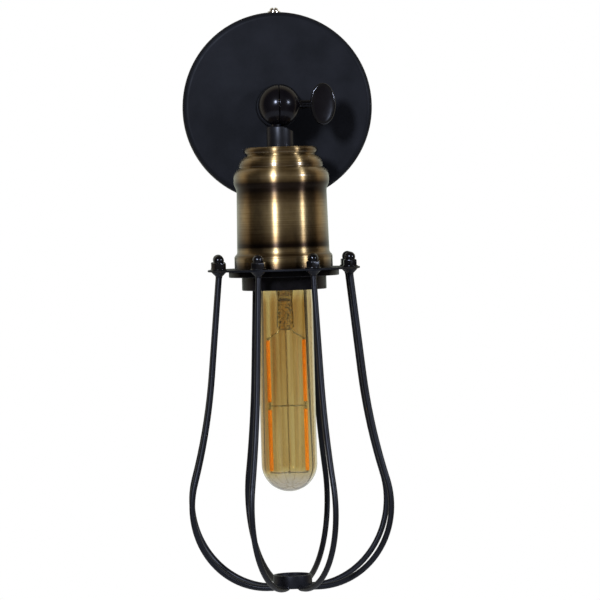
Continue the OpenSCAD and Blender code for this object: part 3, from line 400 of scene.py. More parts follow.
def cut(bm, point, normal, drop=True):
    """Cut a whole bmesh by a plane. drop takes away what lies beyond it."""
    bmesh.ops.bisect_plane(bm, geom=bm.verts[:] + bm.edges[:] + bm.faces[:], dist=1e-5,
                           plane_co=point, plane_no=normal, clear_outer=drop)


def face_outwards(bm):
    """Turn every face of a closed bmesh outwards."""
    bmesh.ops.recalc_face_normals(bm, faces=bm.faces[:])


def grow(bm, faces, height):
    """Extrude faces along Z."""
    grown = bmesh.ops.extrude_face_region(bm, geom=faces)["geom"]
    bmesh.ops.translate(bm, vec=(0, 0, height),
                        verts=[item for item in grown if isinstance(item, bmesh.types.BMVert)])


def place_mm(bm, about=KNUCKLE, matrix=Matrix()):
    """Turn a bmesh drawn in millimetres by matrix, move it to about and scale it to metres."""
    bmesh.ops.transform(bm, matrix=matrix, verts=bm.verts[:])
    shift(bm, *about)
    resize(bm, MM, MM, MM)


def place_round(bm, number, radius, height):
    """Place a bmesh drawn in mm at one of the wires' places round the lamp's axis."""
    angle = math.radians(-90 + (number + 0.5) * 360 / WIRE_COUNT)
    place_mm(bm, matrix=Matrix.Rotation(angle, 4, "Z")
             @ Matrix.Translation((radius, 0, height)))


def join(bm, other):
    """Add the bmesh other to bm and free it."""
    mesh = bpy.data.meshes.new("part")
    other.to_mesh(mesh)
    other.free()
    bm.from_mesh(mesh)
    bpy.data.meshes.remove(mesh)


def lathe(outline, rounds=(), closed=False, steps=96):
    """Spin an outline of (radius, height) points in mm round Z. rounds gives (number, radius)
    of the points whose corner is rounded."""
    bm = bmesh.new()
    points = [bm.verts.new((r, 0.0, z)) for r, z in outline]
    last = len(points) if closed else len(points) - 1
    for i in range(last):
        bm.edges.new((points[i], points[(i + 1) % len(points)]))
    for i, radius in rounds:
        bmesh.ops.bevel(bm, geom=[points[i]], offset=radius, offset_type="OFFSET", segments=4,
                        profile=0.5, affect="VERTICES", clamp_overlap=True, material=-1)
    bmesh.ops.spin(bm, geom=bm.verts[:] + bm.edges[:], cent=(0, 0, 0), axis=(0, 0, 1),
                   dvec=(0, 0, 0), angle=TURN, steps=steps, use_merge=True,
                   use_normal_flip=False, use_duplicate=False)
    bmesh.ops.remove_doubles(bm, verts=bm.verts[:], dist=1e-4)
    face_outwards(bm)
    return bm


def arc(centre, radius, start, end, count):
    """count + 1 points of (radius, height) on an arc, angles in degrees."""
    turns = (math.radians(start + (end - start) * i / count) for i in range(count + 1))
    return [(centre[0] + radius * math.cos(a), centre[1] + radius * math.sin(a)) for a in turns]


def bend(start, leaving, end, arriving, count=14):
    """Points on a smooth bend that leaves start along one vector and arrives along another."""
    start, leaving, end, arriving = (Vector(v) for v in (start, leaving, end, arriving))
    points = []
    for i in range(count + 1):
        t = i / count
        u = 1 - t
        points.append(u ** 3 * start + 3 * u * u * t * (start + leaving)
                      + 3 * u * t * t * (end - arriving) + t ** 3 * end)
    return points


def sweep(path, radius, sides=16, stripe=None, first=0, second=1):
    """A round wire or lead along points in mm. Side faces whose number is in stripe get the
    material number second, the others first."""
    path = [Vector(p) for p in path]
    headings = []
    for i in range(len(path)):
        before = (path[i] - path[i - 1]).normalized() if i else None
        after = (path[i + 1] - path[i]).normalized() if i < len(path) - 1 else None
        headings.append(((before or after) + (after or before)).normalized())
    bm = bmesh.new()
    made = bmesh.ops.create_circle(bm, cap_ends=True, segments=sides, radius=radius)
    turn = Vector((0, 0, 1)).rotation_difference(headings[0]).to_matrix()
    bmesh.ops.rotate(bm, cent=(0, 0, 0), matrix=turn, verts=made["verts"])
    bmesh.ops.translate(bm, vec=path[0], verts=made["verts"])
    rim = list(bm.edges)
    for i in range(1, len(path)):
        grown = bmesh.ops.extrude_edge_only(bm, edges=rim)["geom"]
        ends = [item for item in grown if isinstance(item, bmesh.types.BMVert)]
        walls = [item for item in grown if isinstance(item, bmesh.types.BMFace)]
        rim = [item for item in grown if isinstance(item, bmesh.types.BMEdge)
               and item.verts[0] in ends and item.verts[1] in ends]
        for number, wall in enumerate(walls):
            wall.material_index = second if stripe and number % sides in stripe else first
        bmesh.ops.translate(bm, vec=path[i] - path[i - 1], verts=ends)
        turn = headings[i - 1].rotation_difference(headings[i]).to_matrix()
        bmesh.ops.rotate(bm, cent=path[i], matrix=turn, verts=ends)
    bmesh.ops.contextual_create(bm, geom=rim)
    face_outwards(bm)
    return bm


def round_edges(bm, edges, width, segments=3):
    """Round those edges by width in the bmesh's own units."""
    bmesh.ops.bevel(bm, geom=list(edges), offset=width, offset_type="OFFSET", segments=segments,
                    profile=0.5, affect="EDGES", clamp_overlap=True, material=-1)


def publish(bm, name, nodes, *materials, ride=True):
    """Make the bmesh an object that stands for nodes, rides on their body and has materials."""
    if not bm.faces:
        raise RuntimeError(f"{name} has no faces")
    for edge in bm.edges:
        edge.smooth = edge.calc_face_angle(0.0) < SHARP_ANGLE
    for face in bm.faces:
        face.smooth = True
    mesh = bpy.data.meshes.new(name)
    bm.to_mesh(mesh)
    bm.free()
    for made in materials:
        mesh.materials.append(made)
    piece = bpy.data.objects.new(name, mesh)
    bpy.context.scene.collection.objects.link(piece)
    if ride:
        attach(piece, BODY_OF[nodes[0]])
    return piece


def stand_for(bm, name, nodes, *materials):
    """Publish a piece and hide the nodes that it stands for."""
    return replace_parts(publish(bm, name, nodes, *materials), *nodes)


def dress(made, *nodes):
    """Give carried-over CAD nodes a material."""
    for name in nodes:
        for slot in NODES[name].material_slots:
            slot.material = made


# ---------- settings ----------

def size_setting(name, description, default):
    """A size setting in metres."""
    return FloatProperty(name=name, description=description, default=default, unit="LENGTH",
                         subtype="DISTANCE")


def colour_setting(name, description, hex_code):
    """A colour setting."""
    return FloatVectorProperty(name=name, description=description, subtype="COLOR",
                               default=colour(hex_code), min=0.0, max=1.0)


class CageLightSizes(bpy.types.PropertyGroup):
    """Sizes of the finer pieces. The CAD frame sets the others."""

    ball_radius: size_setting("Ball radius", "Radius of the knuckle's ball", 0.011)
    ball_split: size_setting("Ball split", "Gap between the ball's halves", 0.0004)
    split_round: size_setting("Split rounding", "Rounding of the split's rims", 0.0003)
    thumb_width: size_setting("Thumb plate width", "Thumb plate along the screw", 0.0131)
    thumb_height: size_setting("Thumb plate height", "Thumb plate across it", 0.0217)
    glass_radius: size_setting("Bulb radius", "Outside radius of the glass", 0.01445)
    glass_wall: size_setting("Bulb wall", "Thickness of the glass", 0.0008)
    weld_radius: size_setting("Weld bead radius", "Size of the weld beads", 0.0021)
    round_steps: IntProperty(name="Steps round", description="Faces round a turned piece",
                             default=96, min=24, max=256)


class CageLightFinishes(bpy.types.PropertyGroup):
    """Colours of the finishes that differ most from one light to another."""

    # the brown and dark brass colours also paint the shade and reflection bands down the shell
    brass_bright: colour_setting("Brass, brushed", "Brass where the brush cut the patina",
                                 "#A89873")
    brass_brown: colour_setting("Brass, brown", "Thin patina on the brass", "#706046")
    brass_black: colour_setting("Brass, dark", "Full patina in the steps and creases", "#302823")
    brush_depth: size_setting("Brush depth", "Depth of the brush rings", 0.00002)
    glass_clear: colour_setting("Glass, clear", "Glass where the lustre has run out", "#CDC9BE")
    glass_amber: colour_setting("Glass, amber", "Glass under a thin lustre", "#D0C498")
    glass_deep: colour_setting("Glass, deep amber", "Glass under a thick lustre", "#B3965F")
    filament_glow: colour_setting("Filament colour", "Light that the filaments give off", "#FFA200")
    filament_light: FloatProperty(name="Filament light", default=0.5, min=0.0,
                                  description="Strength of the filaments' own light")


class CageLightStudio(bpy.types.PropertyGroup):
    """Stage, lights and camera."""

    floor_radius: size_setting("Floor radius", "Radius of the pale floor", 1.5)
    floor_height: size_setting("Floor height", "Height of the floor", -0.9)
    key_power: FloatProperty(name="Key light", description="Power of the left softbox",
                             default=46.0, unit="POWER")
    fill_power: FloatProperty(name="Fill light", description="Power of the right softbox",
                              default=20.0, unit="POWER")
    backdrop: FloatProperty(name="Backdrop", description="Brightness of the white backdrop",
                            default=1.0, min=0.0)
    ambient: FloatProperty(name="Room light", description="Brightness of the room's even light",
                           default=0.3, min=0.0)
    lens: FloatProperty(name="Lens", description="Focal length of the camera",
                        default=205.37, unit="CAMERA")


# ---------- operators, one for each piece or group of like pieces ----------

class PieceOperator:
    """What every operator here shares."""

    bl_options = {"REGISTER"}

    def execute(self, context):
        self.build(context.scene.cage_light_sizes, context.scene.cage_light_finishes)
        return {"FINISHED"}


class CAGELIGHT_OT_canopy(PieceOperator, bpy.types.Operator):
    """Finish the canopy and the boss on its face in satin powder coat"""

    bl_idname = "cagelight.canopy"
    bl_label = "Canopy and boss"

    def build(self, sizes, finishes):
        dress(satin_powder_coat(), "canopy", "arm_boss")


class CAGELIGHT_OT_canopy_screws(PieceOperator, bpy.types.Operator):
    """Model the canopy's two screws with a turned head and a driver slot"""

    bl_idname = "cagelight.canopy_screws"
    bl_label = "Canopy screws"

    def build(self, sizes, finishes):
        slot_half, slot_depth, from_wall = 0.4, 0.6, 12.0
        bm = bmesh.new()
        for side in (0.0, math.pi):
            head = lathe([(0, 41.5), (1.95, 41.5), (1.95, 50.0), (3.4, 50.0), (3.4, 51.0),
                          (2.3, 51.0), (2.3, 51.9), (1.9, 52.5), (1.2, 52.88), (0, 53.0)],
                         rounds=((4, 0.3), (5, 0.25)), steps=40)
            # the slot is pressed into the dome: its ring of faces is cut and pushed down
            for x in (-slot_half, slot_half):
                cut(head, (x, 0, 0), (1, 0, 0), drop=False)
            floor = [face for face in head.faces if face.calc_center_median().z > 52.0
                     and abs(face.calc_center_median().x) < slot_half]
            grow(head, floor, -slot_depth)
            bmesh.ops.delete(head, geom=floor, context="FACES")
            place_mm(head, (0, -from_wall, 0), Matrix.Rotation(side, 4, "Y"))
            join(bm, head)
        stand_for(bm, "canopy_side_screws", ["canopy_screws"], chrome_plate())


class CAGELIGHT_OT_knuckle(PieceOperator, bpy.types.Operator):
    """Model the knuckle's two hollow half balls, each with its neck"""

    bl_idname = "cagelight.knuckle"
    bl_label = "Ball knuckle"

    @staticmethod
    def half(sizes):
        """The half on the side x < 0 with its neck pointing down, in millimetres."""
        radius, gap = sizes.ball_radius / MM, sizes.ball_split / MM / 2
        wall, bore = 1.6, 3.75
        ball = bmesh.new()
        bmesh.ops.create_uvsphere(ball, u_segments=128, v_segments=64, radius=radius)
        rotate(ball, QUARTER, "Y")
        cut(ball, (-gap, 0, 0), (1, 0, 0))
        face_outwards(ball)
        bmesh.ops.solidify(ball, geom=ball.faces[:], thickness=wall)
        rim = [edge for edge in ball.edges if edge.calc_face_angle(0.0) > math.radians(60)
               and all(v.co.length > radius - wall / 2 for v in edge.verts)]
        round_edges(ball, rim, sizes.split_round / MM)
        # a thin half tube carries the neck from the inside of the ball's wall
        tube = 4.5
        seat = [(r, -math.sqrt((radius - wall / 2) ** 2 - r * r)) for r in (tube, bore)]
        link = lathe([(bore, -radius - 1.0), (tube, -radius - 1.0)] + seat, closed=True,
                     steps=64)
        cut(link, (-gap, 0, 0), (1, 0, 0))
        bmesh.ops.holes_fill(link, edges=link.edges[:], sides=0)
        join(ball, link)
        # the neck starts just under the ball, and slants away from the other half
        top, outer, thread, grip = -radius - 0.1, 7.0, 5.0, HOLDER_Z + 7.5
        neck = lathe([(bore, top), (outer, top), (outer, HOLDER_Z), (thread, HOLDER_Z),
                      (thread, grip), (bore, grip)],
                     rounds=((1, 0.5), (2, 0.25)), closed=True, steps=sizes.round_steps)
        cut(neck, (1.0, 0, top), (0.42, 0, 0.91))
        bmesh.ops.holes_fill(neck, edges=neck.edges[:], sides=0)
        for face in neck.faces:
            face.material_index = 1
        join(ball, neck)
        # the thumb screw runs in a boss inside the ball
        clear, boss_radius, foot = 2.6, 3.6, radius - 1.1
        boss = lathe([(clear, gap), (boss_radius, gap), (boss_radius, foot), (clear, foot)],
                     closed=True, steps=48)
        rotate(boss, -QUARTER, "Y")
        join(ball, boss)
        return ball

    def build(self, sizes, finishes):
        enamel, satin = black_enamel(), satin_enamel()
        lamp_half = self.half(sizes)
        place_mm(lamp_half)
        stand_for(lamp_half, "knuckle_ball_lamp_side", ["knuckle_lamp_half"], enamel, satin)
        arm_half = self.half(sizes)
        mirrored = Matrix.Rotation(QUARTER, 4, "X") @ Matrix.Scale(-1, 4, (1, 0, 0))
        place_mm(arm_half, matrix=mirrored)
        bmesh.ops.reverse_faces(arm_half, faces=arm_half.faces[:])
        stand_for(arm_half, "knuckle_ball_arm_side", ["knuckle_arm_half"], enamel, satin)
        dress(zinc_plate(), "knuckle_washer")


class CAGELIGHT_OT_thumb_screw(PieceOperator, bpy.types.Operator):
    """Model the thumb screw: shank, cut thread and oval plate with a raised rim"""

    bl_idname = "cagelight.thumb_screw"
    bl_label = "Thumb screw"

    def build(self, sizes, finishes):
        root, crest, pitch, turns = 2.0, 2.45, 0.8, 8
        tip, start, sides = -7.0, 10.7, 32
        end = start + turns * pitch
        screw = lathe([(0, tip), (crest, tip), (crest, start), (root, start), (root, end),
                       (0, end)], rounds=((1, 0.4),), steps=sides)
        thread = bmesh.new()
        tooth = [thread.verts.new((r, 0.0, start + z * pitch)) for r, z in
                 ((root - 0.05, 0.04), (crest, 0.42), (crest, 0.58), (root - 0.05, 0.96))]
        for i in range(4):
            thread.edges.new((tooth[i - 1], tooth[i]))
        bmesh.ops.spin(thread, geom=thread.verts[:] + thread.edges[:], cent=(0, 0, 0),
                       axis=(0, 0, 1), dvec=(0, 0, pitch / sides), angle=TURN * (turns - 1),
                       steps=sides * (turns - 1), use_merge=False, use_normal_flip=False,
                       use_duplicate=False)
        bmesh.ops.holes_fill(thread, edges=thread.edges[:], sides=4)
        face_outwards(thread)
        join(screw, thread)
        rotate(screw, QUARTER, "Y")
        thickness, rim, dish, plate_start = 2.6, 0.9, 0.3, 16.2
        half_width = sizes.thumb_width / MM / 2
        plate = bmesh.new()
        bmesh.ops.create_circle(plate, cap_ends=True, segments=96, radius=1.0)
        resize(plate, half_width, sizes.thumb_height / MM / 2, 1)
        grow(plate, plate.faces[:], thickness)
        shift(plate, z=-thickness / 2)
        face_outwards(plate)
        round_edges(plate, [e for e in plate.edges if e.calc_face_angle(0) > 1.0], rim, 5)
        faces = [face for face in plate.faces if abs(face.normal.z) > 0.99]
        bmesh.ops.inset_region(plate, faces=faces, thickness=rim, depth=-dish)
        for face in faces:
            face.material_index = 1
        rotate(plate, QUARTER, "X")
        shift(plate, x=plate_start + half_width)
        join(screw, plate)
        place_mm(screw)
        stand_for(screw, "thumb_screw_oval", ["thumb_screw"], bright_enamel(), black_enamel())


class CAGELIGHT_OT_brass_shell(PieceOperator, bpy.types.Operator):
    """Finish the spun shell in brushed antique brass"""

    bl_idname = "cagelight.brass_shell"
    bl_label = "Brass shell"

    def build(self, sizes, finishes):
        dress(antique_brass(finishes), "brass_shell")


class CAGELIGHT_OT_holder(PieceOperator, bpy.types.Operator):
    """Finish the lamp holder inside the shell"""

    bl_idname = "cagelight.holder"
    bl_label = "Lamp holder"

    def build(self, sizes, finishes):
        dress(black_phenolic(), "holder_cap", "holder_skirt")
        dress(porcelain(), "contact_block")
        dress(nickel_plate(), "screw_shell")
        dress(plain_brass(), "centre_contact", "contact_rivets", "holder_terminals",
              "holder_lock_nut")
        dress(zinc_plate(), "terminal_screws", "holder_washer")
        dress(all_thread(), "holder_tube")


class CAGELIGHT_OT_shade_ring(PieceOperator, bpy.types.Operator):
    """Model the moulded ring that clamps the cage plate, with its soft moulded corners"""

    bl_idname = "cagelight.shade_ring"
    bl_label = "Shade ring"

    def build(self, sizes, finishes):
        top = PLATE_Z - PLATE_THICK - 0.02  # a hair under the plate that it clamps
        flange, body, under, foot = 28.6, 21.95, top - 3.2, top - 10.1
        bm = lathe([(HOLDER_BORE, top), (flange, top), (flange, under), (body, under),
                    (body, foot), (HOLDER_BORE, foot)],
                   rounds=((1, 0.4), (2, 0.4), (3, 0.3), (4, 0.4), (5, 0.3)), closed=True,
                   steps=160)
        place_mm(bm)
        stand_for(bm, "shade_clamp_ring", ["shade_ring"], black_phenolic())


class CAGELIGHT_OT_cage_plate(PieceOperator, bpy.types.Operator):
    """Model the blanked plate with its edge rolled over by the press"""

    bl_idname = "cagelight.cage_plate"
    bl_label = "Cage plate"

    def build(self, sizes, finishes):
        edge, under = 39.5, PLATE_Z - PLATE_THICK
        bm = lathe([(HOLDER_BORE, PLATE_Z), (edge, PLATE_Z), (edge, under), (HOLDER_BORE, under)],
                   rounds=((1, 0.3), (2, 0.2)), closed=True, steps=160)
        place_mm(bm)
        stand_for(bm, "cage_disc", ["cage_plate"], satin_powder_coat())


class CAGELIGHT_OT_cap_nuts(PieceOperator, bpy.types.Operator):
    """Model the eight cap nuts: flange, chamfered hexagon and polished dome"""

    bl_idname = "cagelight.cap_nuts"
    bl_label = "Cap nuts"

    def build(self, sizes, finishes):
        bm = bmesh.new()
        circle, flange, low, flats, tall = 36.6, 4.0, 0.7, 6.6, 3.2
        corner = flats / math.cos(math.radians(30)) / 2
        for i in range(WIRE_COUNT):
            nut = lathe([(0, 0), (flange, 0), (flange, low), (0, low)],
                        rounds=((1, 0.15), (2, 0.25)), steps=40)
            hexagon = bmesh.new()
            bmesh.ops.create_cone(hexagon, cap_ends=True, segments=6, depth=tall,
                                  radius1=corner, radius2=corner)
            shift(hexagon, z=low + tall / 2)
            top = [edge for edge in hexagon.edges if all(v.co.z > tall for v in edge.verts)]
            round_edges(hexagon, top, 0.7, 3)
            round_edges(hexagon, [edge for edge in hexagon.edges if
                                  abs(edge.verts[0].co.z - edge.verts[1].co.z) > tall / 2],
                        0.25, 3)
            join(nut, hexagon)
            # the ball of the dome narrows to a waist where it leaves the hexagon
            dome = [(0, 3.6), (2.0, 3.6)] + arc((0, 5.05), 2.75, -30, 90, 20)
            dome[-1] = (0, dome[-1][1])
            join(nut, lathe(dome, steps=40))
            # each nut was tightened to a turn of its own
            rotate(nut, 0.4 * i, "Z")
            place_round(nut, i, circle, PLATE_Z)
            join(bm, nut)
        stand_for(bm, "cage_cap_nuts", ["cap_nuts"], bright_enamel())


class CAGELIGHT_OT_cage_wires(PieceOperator, bpy.types.Operator):
    """Finish the eight wires, and model the end ring and the beads that weld them to it"""

    bl_idname = "cagelight.cage_wires"
    bl_label = "Cage wires and end ring"

    def build(self, sizes, finishes):
        dress(wire_enamel(), *(f"cage_wire_{i + 1}" for i in range(WIRE_COUNT)))
        inner, outer, top, foot = 8.6, 10.1, -243.8, -250.6
        ring = lathe([(inner, top), (outer, top), (outer, foot), (inner, foot)],
                     rounds=((0, 0.35), (1, 0.5), (2, 0.35), (3, 0.3)), closed=True)
        place_mm(ring)
        stand_for(ring, "cage_end_ring", ["end_ring"], wire_enamel())
        beads = bmesh.new()
        for i in range(WIRE_COUNT):
            bead = bmesh.new()
            bmesh.ops.create_uvsphere(bead, u_segments=20, v_segments=12,
                                      radius=sizes.weld_radius / MM)
            resize(bead, 0.75, 1.0, 0.68)
            # lumps up to a fifth of its size, other ones on each bead
            for vert in bead.verts:
                vert.co *= 1 + 0.22 * noise.noise(vert.co * 0.9 + Vector((i * 7.3, 0, 0)))
            place_round(bead, i, outer + 0.4, foot + 0.6)
            join(beads, bead)
        publish(beads, "weld_beads", ["end_ring"], weld_metal())


class CAGELIGHT_OT_bulb_glass(PieceOperator, bpy.types.Operator):
    """Blow the tubular glass: neck, shoulder, straight wall and round foot"""

    bl_idname = "cagelight.bulb_glass"
    bl_label = "Bulb glass"

    @staticmethod
    def wall_line(radius, inset):
        """Outline of the glass from its neck to the middle of its foot."""
        top, shoulder, tip = -84.0, -87.5, -200.5
        neck, straight_end = 12.4 - inset, tip + radius
        radius -= inset
        # the shoulder is two arcs that meet halfway and bend opposite ways
        bow, parts = 4.0, 6
        angle = math.acos(1 - (radius - neck) / (2 * bow))
        down = 2 * bow * math.sin(angle)
        line = [(neck, top), (neck, shoulder)]
        line += [(neck + bow * (1 - math.cos(angle * i / parts)),
                  shoulder - bow * math.sin(angle * i / parts)) for i in range(1, parts + 1)]
        line += [(radius - bow * (1 - math.cos(angle * i / parts)),
                  shoulder - down + bow * math.sin(angle * i / parts))
                 for i in range(parts - 1, -1, -1)]
        line += [(radius, z) for z in (-110.0, -130.0, -150.0, -170.0)]
        line += arc((0, straight_end), radius, 0, -90, 24)
        line[-1] = (0.0, line[-1][1])
        return line

    def build(self, sizes, finishes):
        radius, wall = sizes.glass_radius / MM, sizes.glass_wall / MM
        outside = self.wall_line(radius, 0.0)
        inside = self.wall_line(radius, wall)
        bm = lathe(inside[::-1] + outside, steps=sizes.round_steps)
        place_mm(bm)
        stand_for(bm, "bulb_envelope", ["bulb_glass"], amber_glass(finishes))


class CAGELIGHT_OT_bulb_stem(PieceOperator, bpy.types.Operator):
    """Model the glass stem: flare, drawn tube and the flame-softened pinch"""

    bl_idname = "cagelight.bulb_stem"
    bl_label = "Glass stem"

    def build(self, sizes, finishes):
        bm = lathe([(10.7, -86.6), (11.5, -86.6), (11.5, -87.4), (9.0, -88.6), (6.4, -91.0),
                    (5.0, -94.0), (4.3, -97.5), (4.0, -101.0), (3.3, -101.6), (0, -101.8),
                    (0, -99.2), (3.2, -99.0), (4.1, -94.0), (5.6, -90.8), (8.6, -87.9)],
                   closed=True, rounds=((1, 0.3), (2, 0.3)), steps=64)
        tube, top, length = 4.0, -100.0, 16.9
        pinch = bmesh.new()
        bmesh.ops.create_uvsphere(pinch, u_segments=48, v_segments=32, radius=1.0)
        for vert in pinch.verts:
            # from the round tube above to the flattened foot below, with soft lumps
            x, y, z = vert.co
            depth = 0.5 - z / 2
            wide = tube + 0.7 * depth
            thick = tube - 2.3 * min(1.0, depth * 1.5)
            side = min(1.0, math.hypot(x, y) * 1.6)
            flat = math.hypot(x, y) or 1.0
            lump = 1 + 0.07 * noise.noise(Vector((x, y, z * 3)) * 2.5)
            vert.co = Vector((x / flat * wide * side * lump, y / flat * thick * side * lump,
                              top - length * depth))
        bmesh.ops.smooth_vert(pinch, verts=pinch.verts[:], factor=0.5, use_axis_x=True,
                              use_axis_y=True)
        join(bm, pinch)
        place_mm(bm)
        stand_for(bm, "glass_mount_stem", ["glass_stem"], stem_glass())


class CAGELIGHT_OT_filaments(PieceOperator, bpy.types.Operator):
    """Model the four filaments, their end caps and the wires that carry them"""

    bl_idname = "cagelight.filaments"
    bl_label = "Filaments"

    def build(self, sizes, finishes):
        rods, wires = bmesh.new(), bmesh.new()
        x, wire, rod_radius, rod_length, clip_radius, clip_half = 9.3, 0.35, 1.0, 32, 0.62, 0.6

        def pin(bm, side, radius, top, foot, rounding, steps):
            """Add an upright pin with rounded ends in the plane of the filaments."""
            made = lathe([(0, top), (radius, top), (radius, foot), (0, foot)],
                         rounds=((1, rounding), (2, rounding)), steps=steps)
            shift(made, x=side * x)
            join(bm, made)

        for side in (-1, 1):
            for top in (-121.9, -157.9):
                pin(rods, side, rod_radius, top, top - rod_length, 0.4, 20)
            for joint in (-121.2, -154.6, -157.2, -190.4):
                pin(wires, side, clip_radius, joint + clip_half, joint - clip_half, 0.2, 16)
            join(wires, sweep(bend((side * x, 0, -121.9), (0, 0, 2.2),
                                   (side * 3.5, 0, -116.6), (0, 0, 2.2), 12), wire, 12))
            join(wires, sweep([(side * x, 0, -153.9), (side * x, 0, -157.9)], wire, 12))
            join(wires, sweep([(side * x, 0, -189.9), (side * x, 0, -191.1)], wire, 12))
        for height in (-155.9, -190.75):
            join(wires, sweep([(-x, 0, height), (-x / 2, 0, height - 0.25), (0, 0, height),
                               (x / 2, 0, height - 0.25), (x, 0, height)], wire, 12))
            bead = bmesh.new()
            bmesh.ops.create_icosphere(bead, subdivisions=2, radius=0.75)
            resize(bead, 1, 1, 1.5)
            shift(bead, z=height)
            join(wires, bead)
        join(wires, sweep([(0, 0, -191.1), (0, 0, -116.6)], wire, 12))
        for bm in (rods, wires):
            place_mm(bm)
        stand_for(rods, "filament_rods", ["filaments"], phosphor(finishes))
        stand_for(wires, "mount_wires", ["filament_wires"], nickel_plate())


class CAGELIGHT_OT_bulb_cap(PieceOperator, bpy.types.Operator):
    """Finish the bulb's screw cap, its insulator, contact and driver board"""

    bl_idname = "cagelight.bulb_cap"
    bl_label = "Bulb cap"

    def build(self, sizes, finishes):
        dress(nickel_plate(), "bulb_cap")
        dress(glass_bead(), "bulb_insulator")
        dress(zinc_plate(), "bulb_tip_contact")
        dress(circuit_board(), "driver_board")


class CAGELIGHT_OT_wall_fixings(PieceOperator, bpy.types.Operator):
    """Finish the bracket, terminal block and earth parts behind the canopy"""

    bl_idname = "cagelight.wall_fixings"
    bl_label = "Wall fixings"

    def build(self, sizes, finishes):
        dress(zinc_plate(), "wall_bracket", "block_screw", "arm_washer")
        dress(plain_brass(), "arm_lock_nut", "terminal_inserts", "earth_tag", "earth_screw")
        dress(all_thread(), "arm_tube")
        dress(nylon(), "terminal_block")


class CAGELIGHT_OT_leads(PieceOperator, bpy.types.Operator):
    """Run the smooth brown, blue and striped earth leads through the arm and holder"""

    bl_idname = "cagelight.leads"
    bl_label = "Inner leads"

    def build(self, sizes, finishes):
        brown = pvc("Brown PVC", "#6A4128", "#55321E")
        blue = pvc("Blue PVC", "#2A62A8", "#1F4F8C")
        green = pvc("Green PVC", "#3F8A3A", "#33772F")
        yellow = pvc("Yellow PVC", "#E3CC2E", "#D0B822")
        radius, x, side = 0.95, 1.35, 1.0
        meet = sizes.ball_radius / MM + 0.3  # where the leads in and outside the ball meet
        way_y, way_z, way_pitch = -7.5, 12.75, 9  # the terminal block's three ways
        screw_z = HOLDER_Z - 23.7  # the holder's terminal screws
        arm, ball, lamp = bmesh.new(), bmesh.new(), bmesh.new()
        for s, tint in ((-1, 0), (1, 1)):
            way_x = s * way_pitch
            join(arm, sweep([(way_x, way_y, way_z)] + bend(
                (way_x, way_y, 8.0), (0, 0, -6), (x, -17.0, s * side), (0, -6, 0))
                + [(x, -ARM_REACH + meet, s * side)], radius, first=tint))
            stiff = meet * (0.26 if s > 0 else 0.15)
            join(ball, sweep([(x, meet, s * side)] + bend(
                (x, meet - 0.5, s * side), (0, -stiff, 0),
                (-x, -s * side, 0.5 - meet), (0, 0, -stiff)) + [(-x, -s * side, -meet)],
                radius, first=tint))
            join(lamp, sweep([(-x, -s * side, -meet)] + bend(
                (-x, -s * side, HOLDER_Z - 10.3), (0, 0, -6),
                (s * 4.1, 0, screw_z), (s * 4, s * side, 0))
                + [(s * 6.0, 0, screw_z)], radius, first=tint))
        place_mm(arm, WALL)
        place_mm(ball)
        place_mm(lamp)
        stand_for(arm, "leads_in_arm", ["arm_leads"], brown, blue)
        stand_for(lamp, "leads_in_holder", ["lamp_leads"], brown, blue)
        crossing = publish(ball, "leads_in_knuckle", ["knuckle_leads"], brown, blue, ride=False)
        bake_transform(crossing)
        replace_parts(crossing, "knuckle_leads")
        tag_y, tag_z = -4.1, -13.5  # the earth tag on the bracket
        earth = sweep([(0, way_y, way_z)] + bend(
            (0, way_y, 8.0), (0, 0, -8), (12.4, tag_y, tag_z), (-8, 0, 0), 20)
            + [(7.9, tag_y, tag_z)], radius, stripe=(0, 1, 2, 8, 9, 10))
        place_mm(earth, WALL)
        stand_for(earth, "striped_earth_lead", ["earth_lead"], green, yellow)


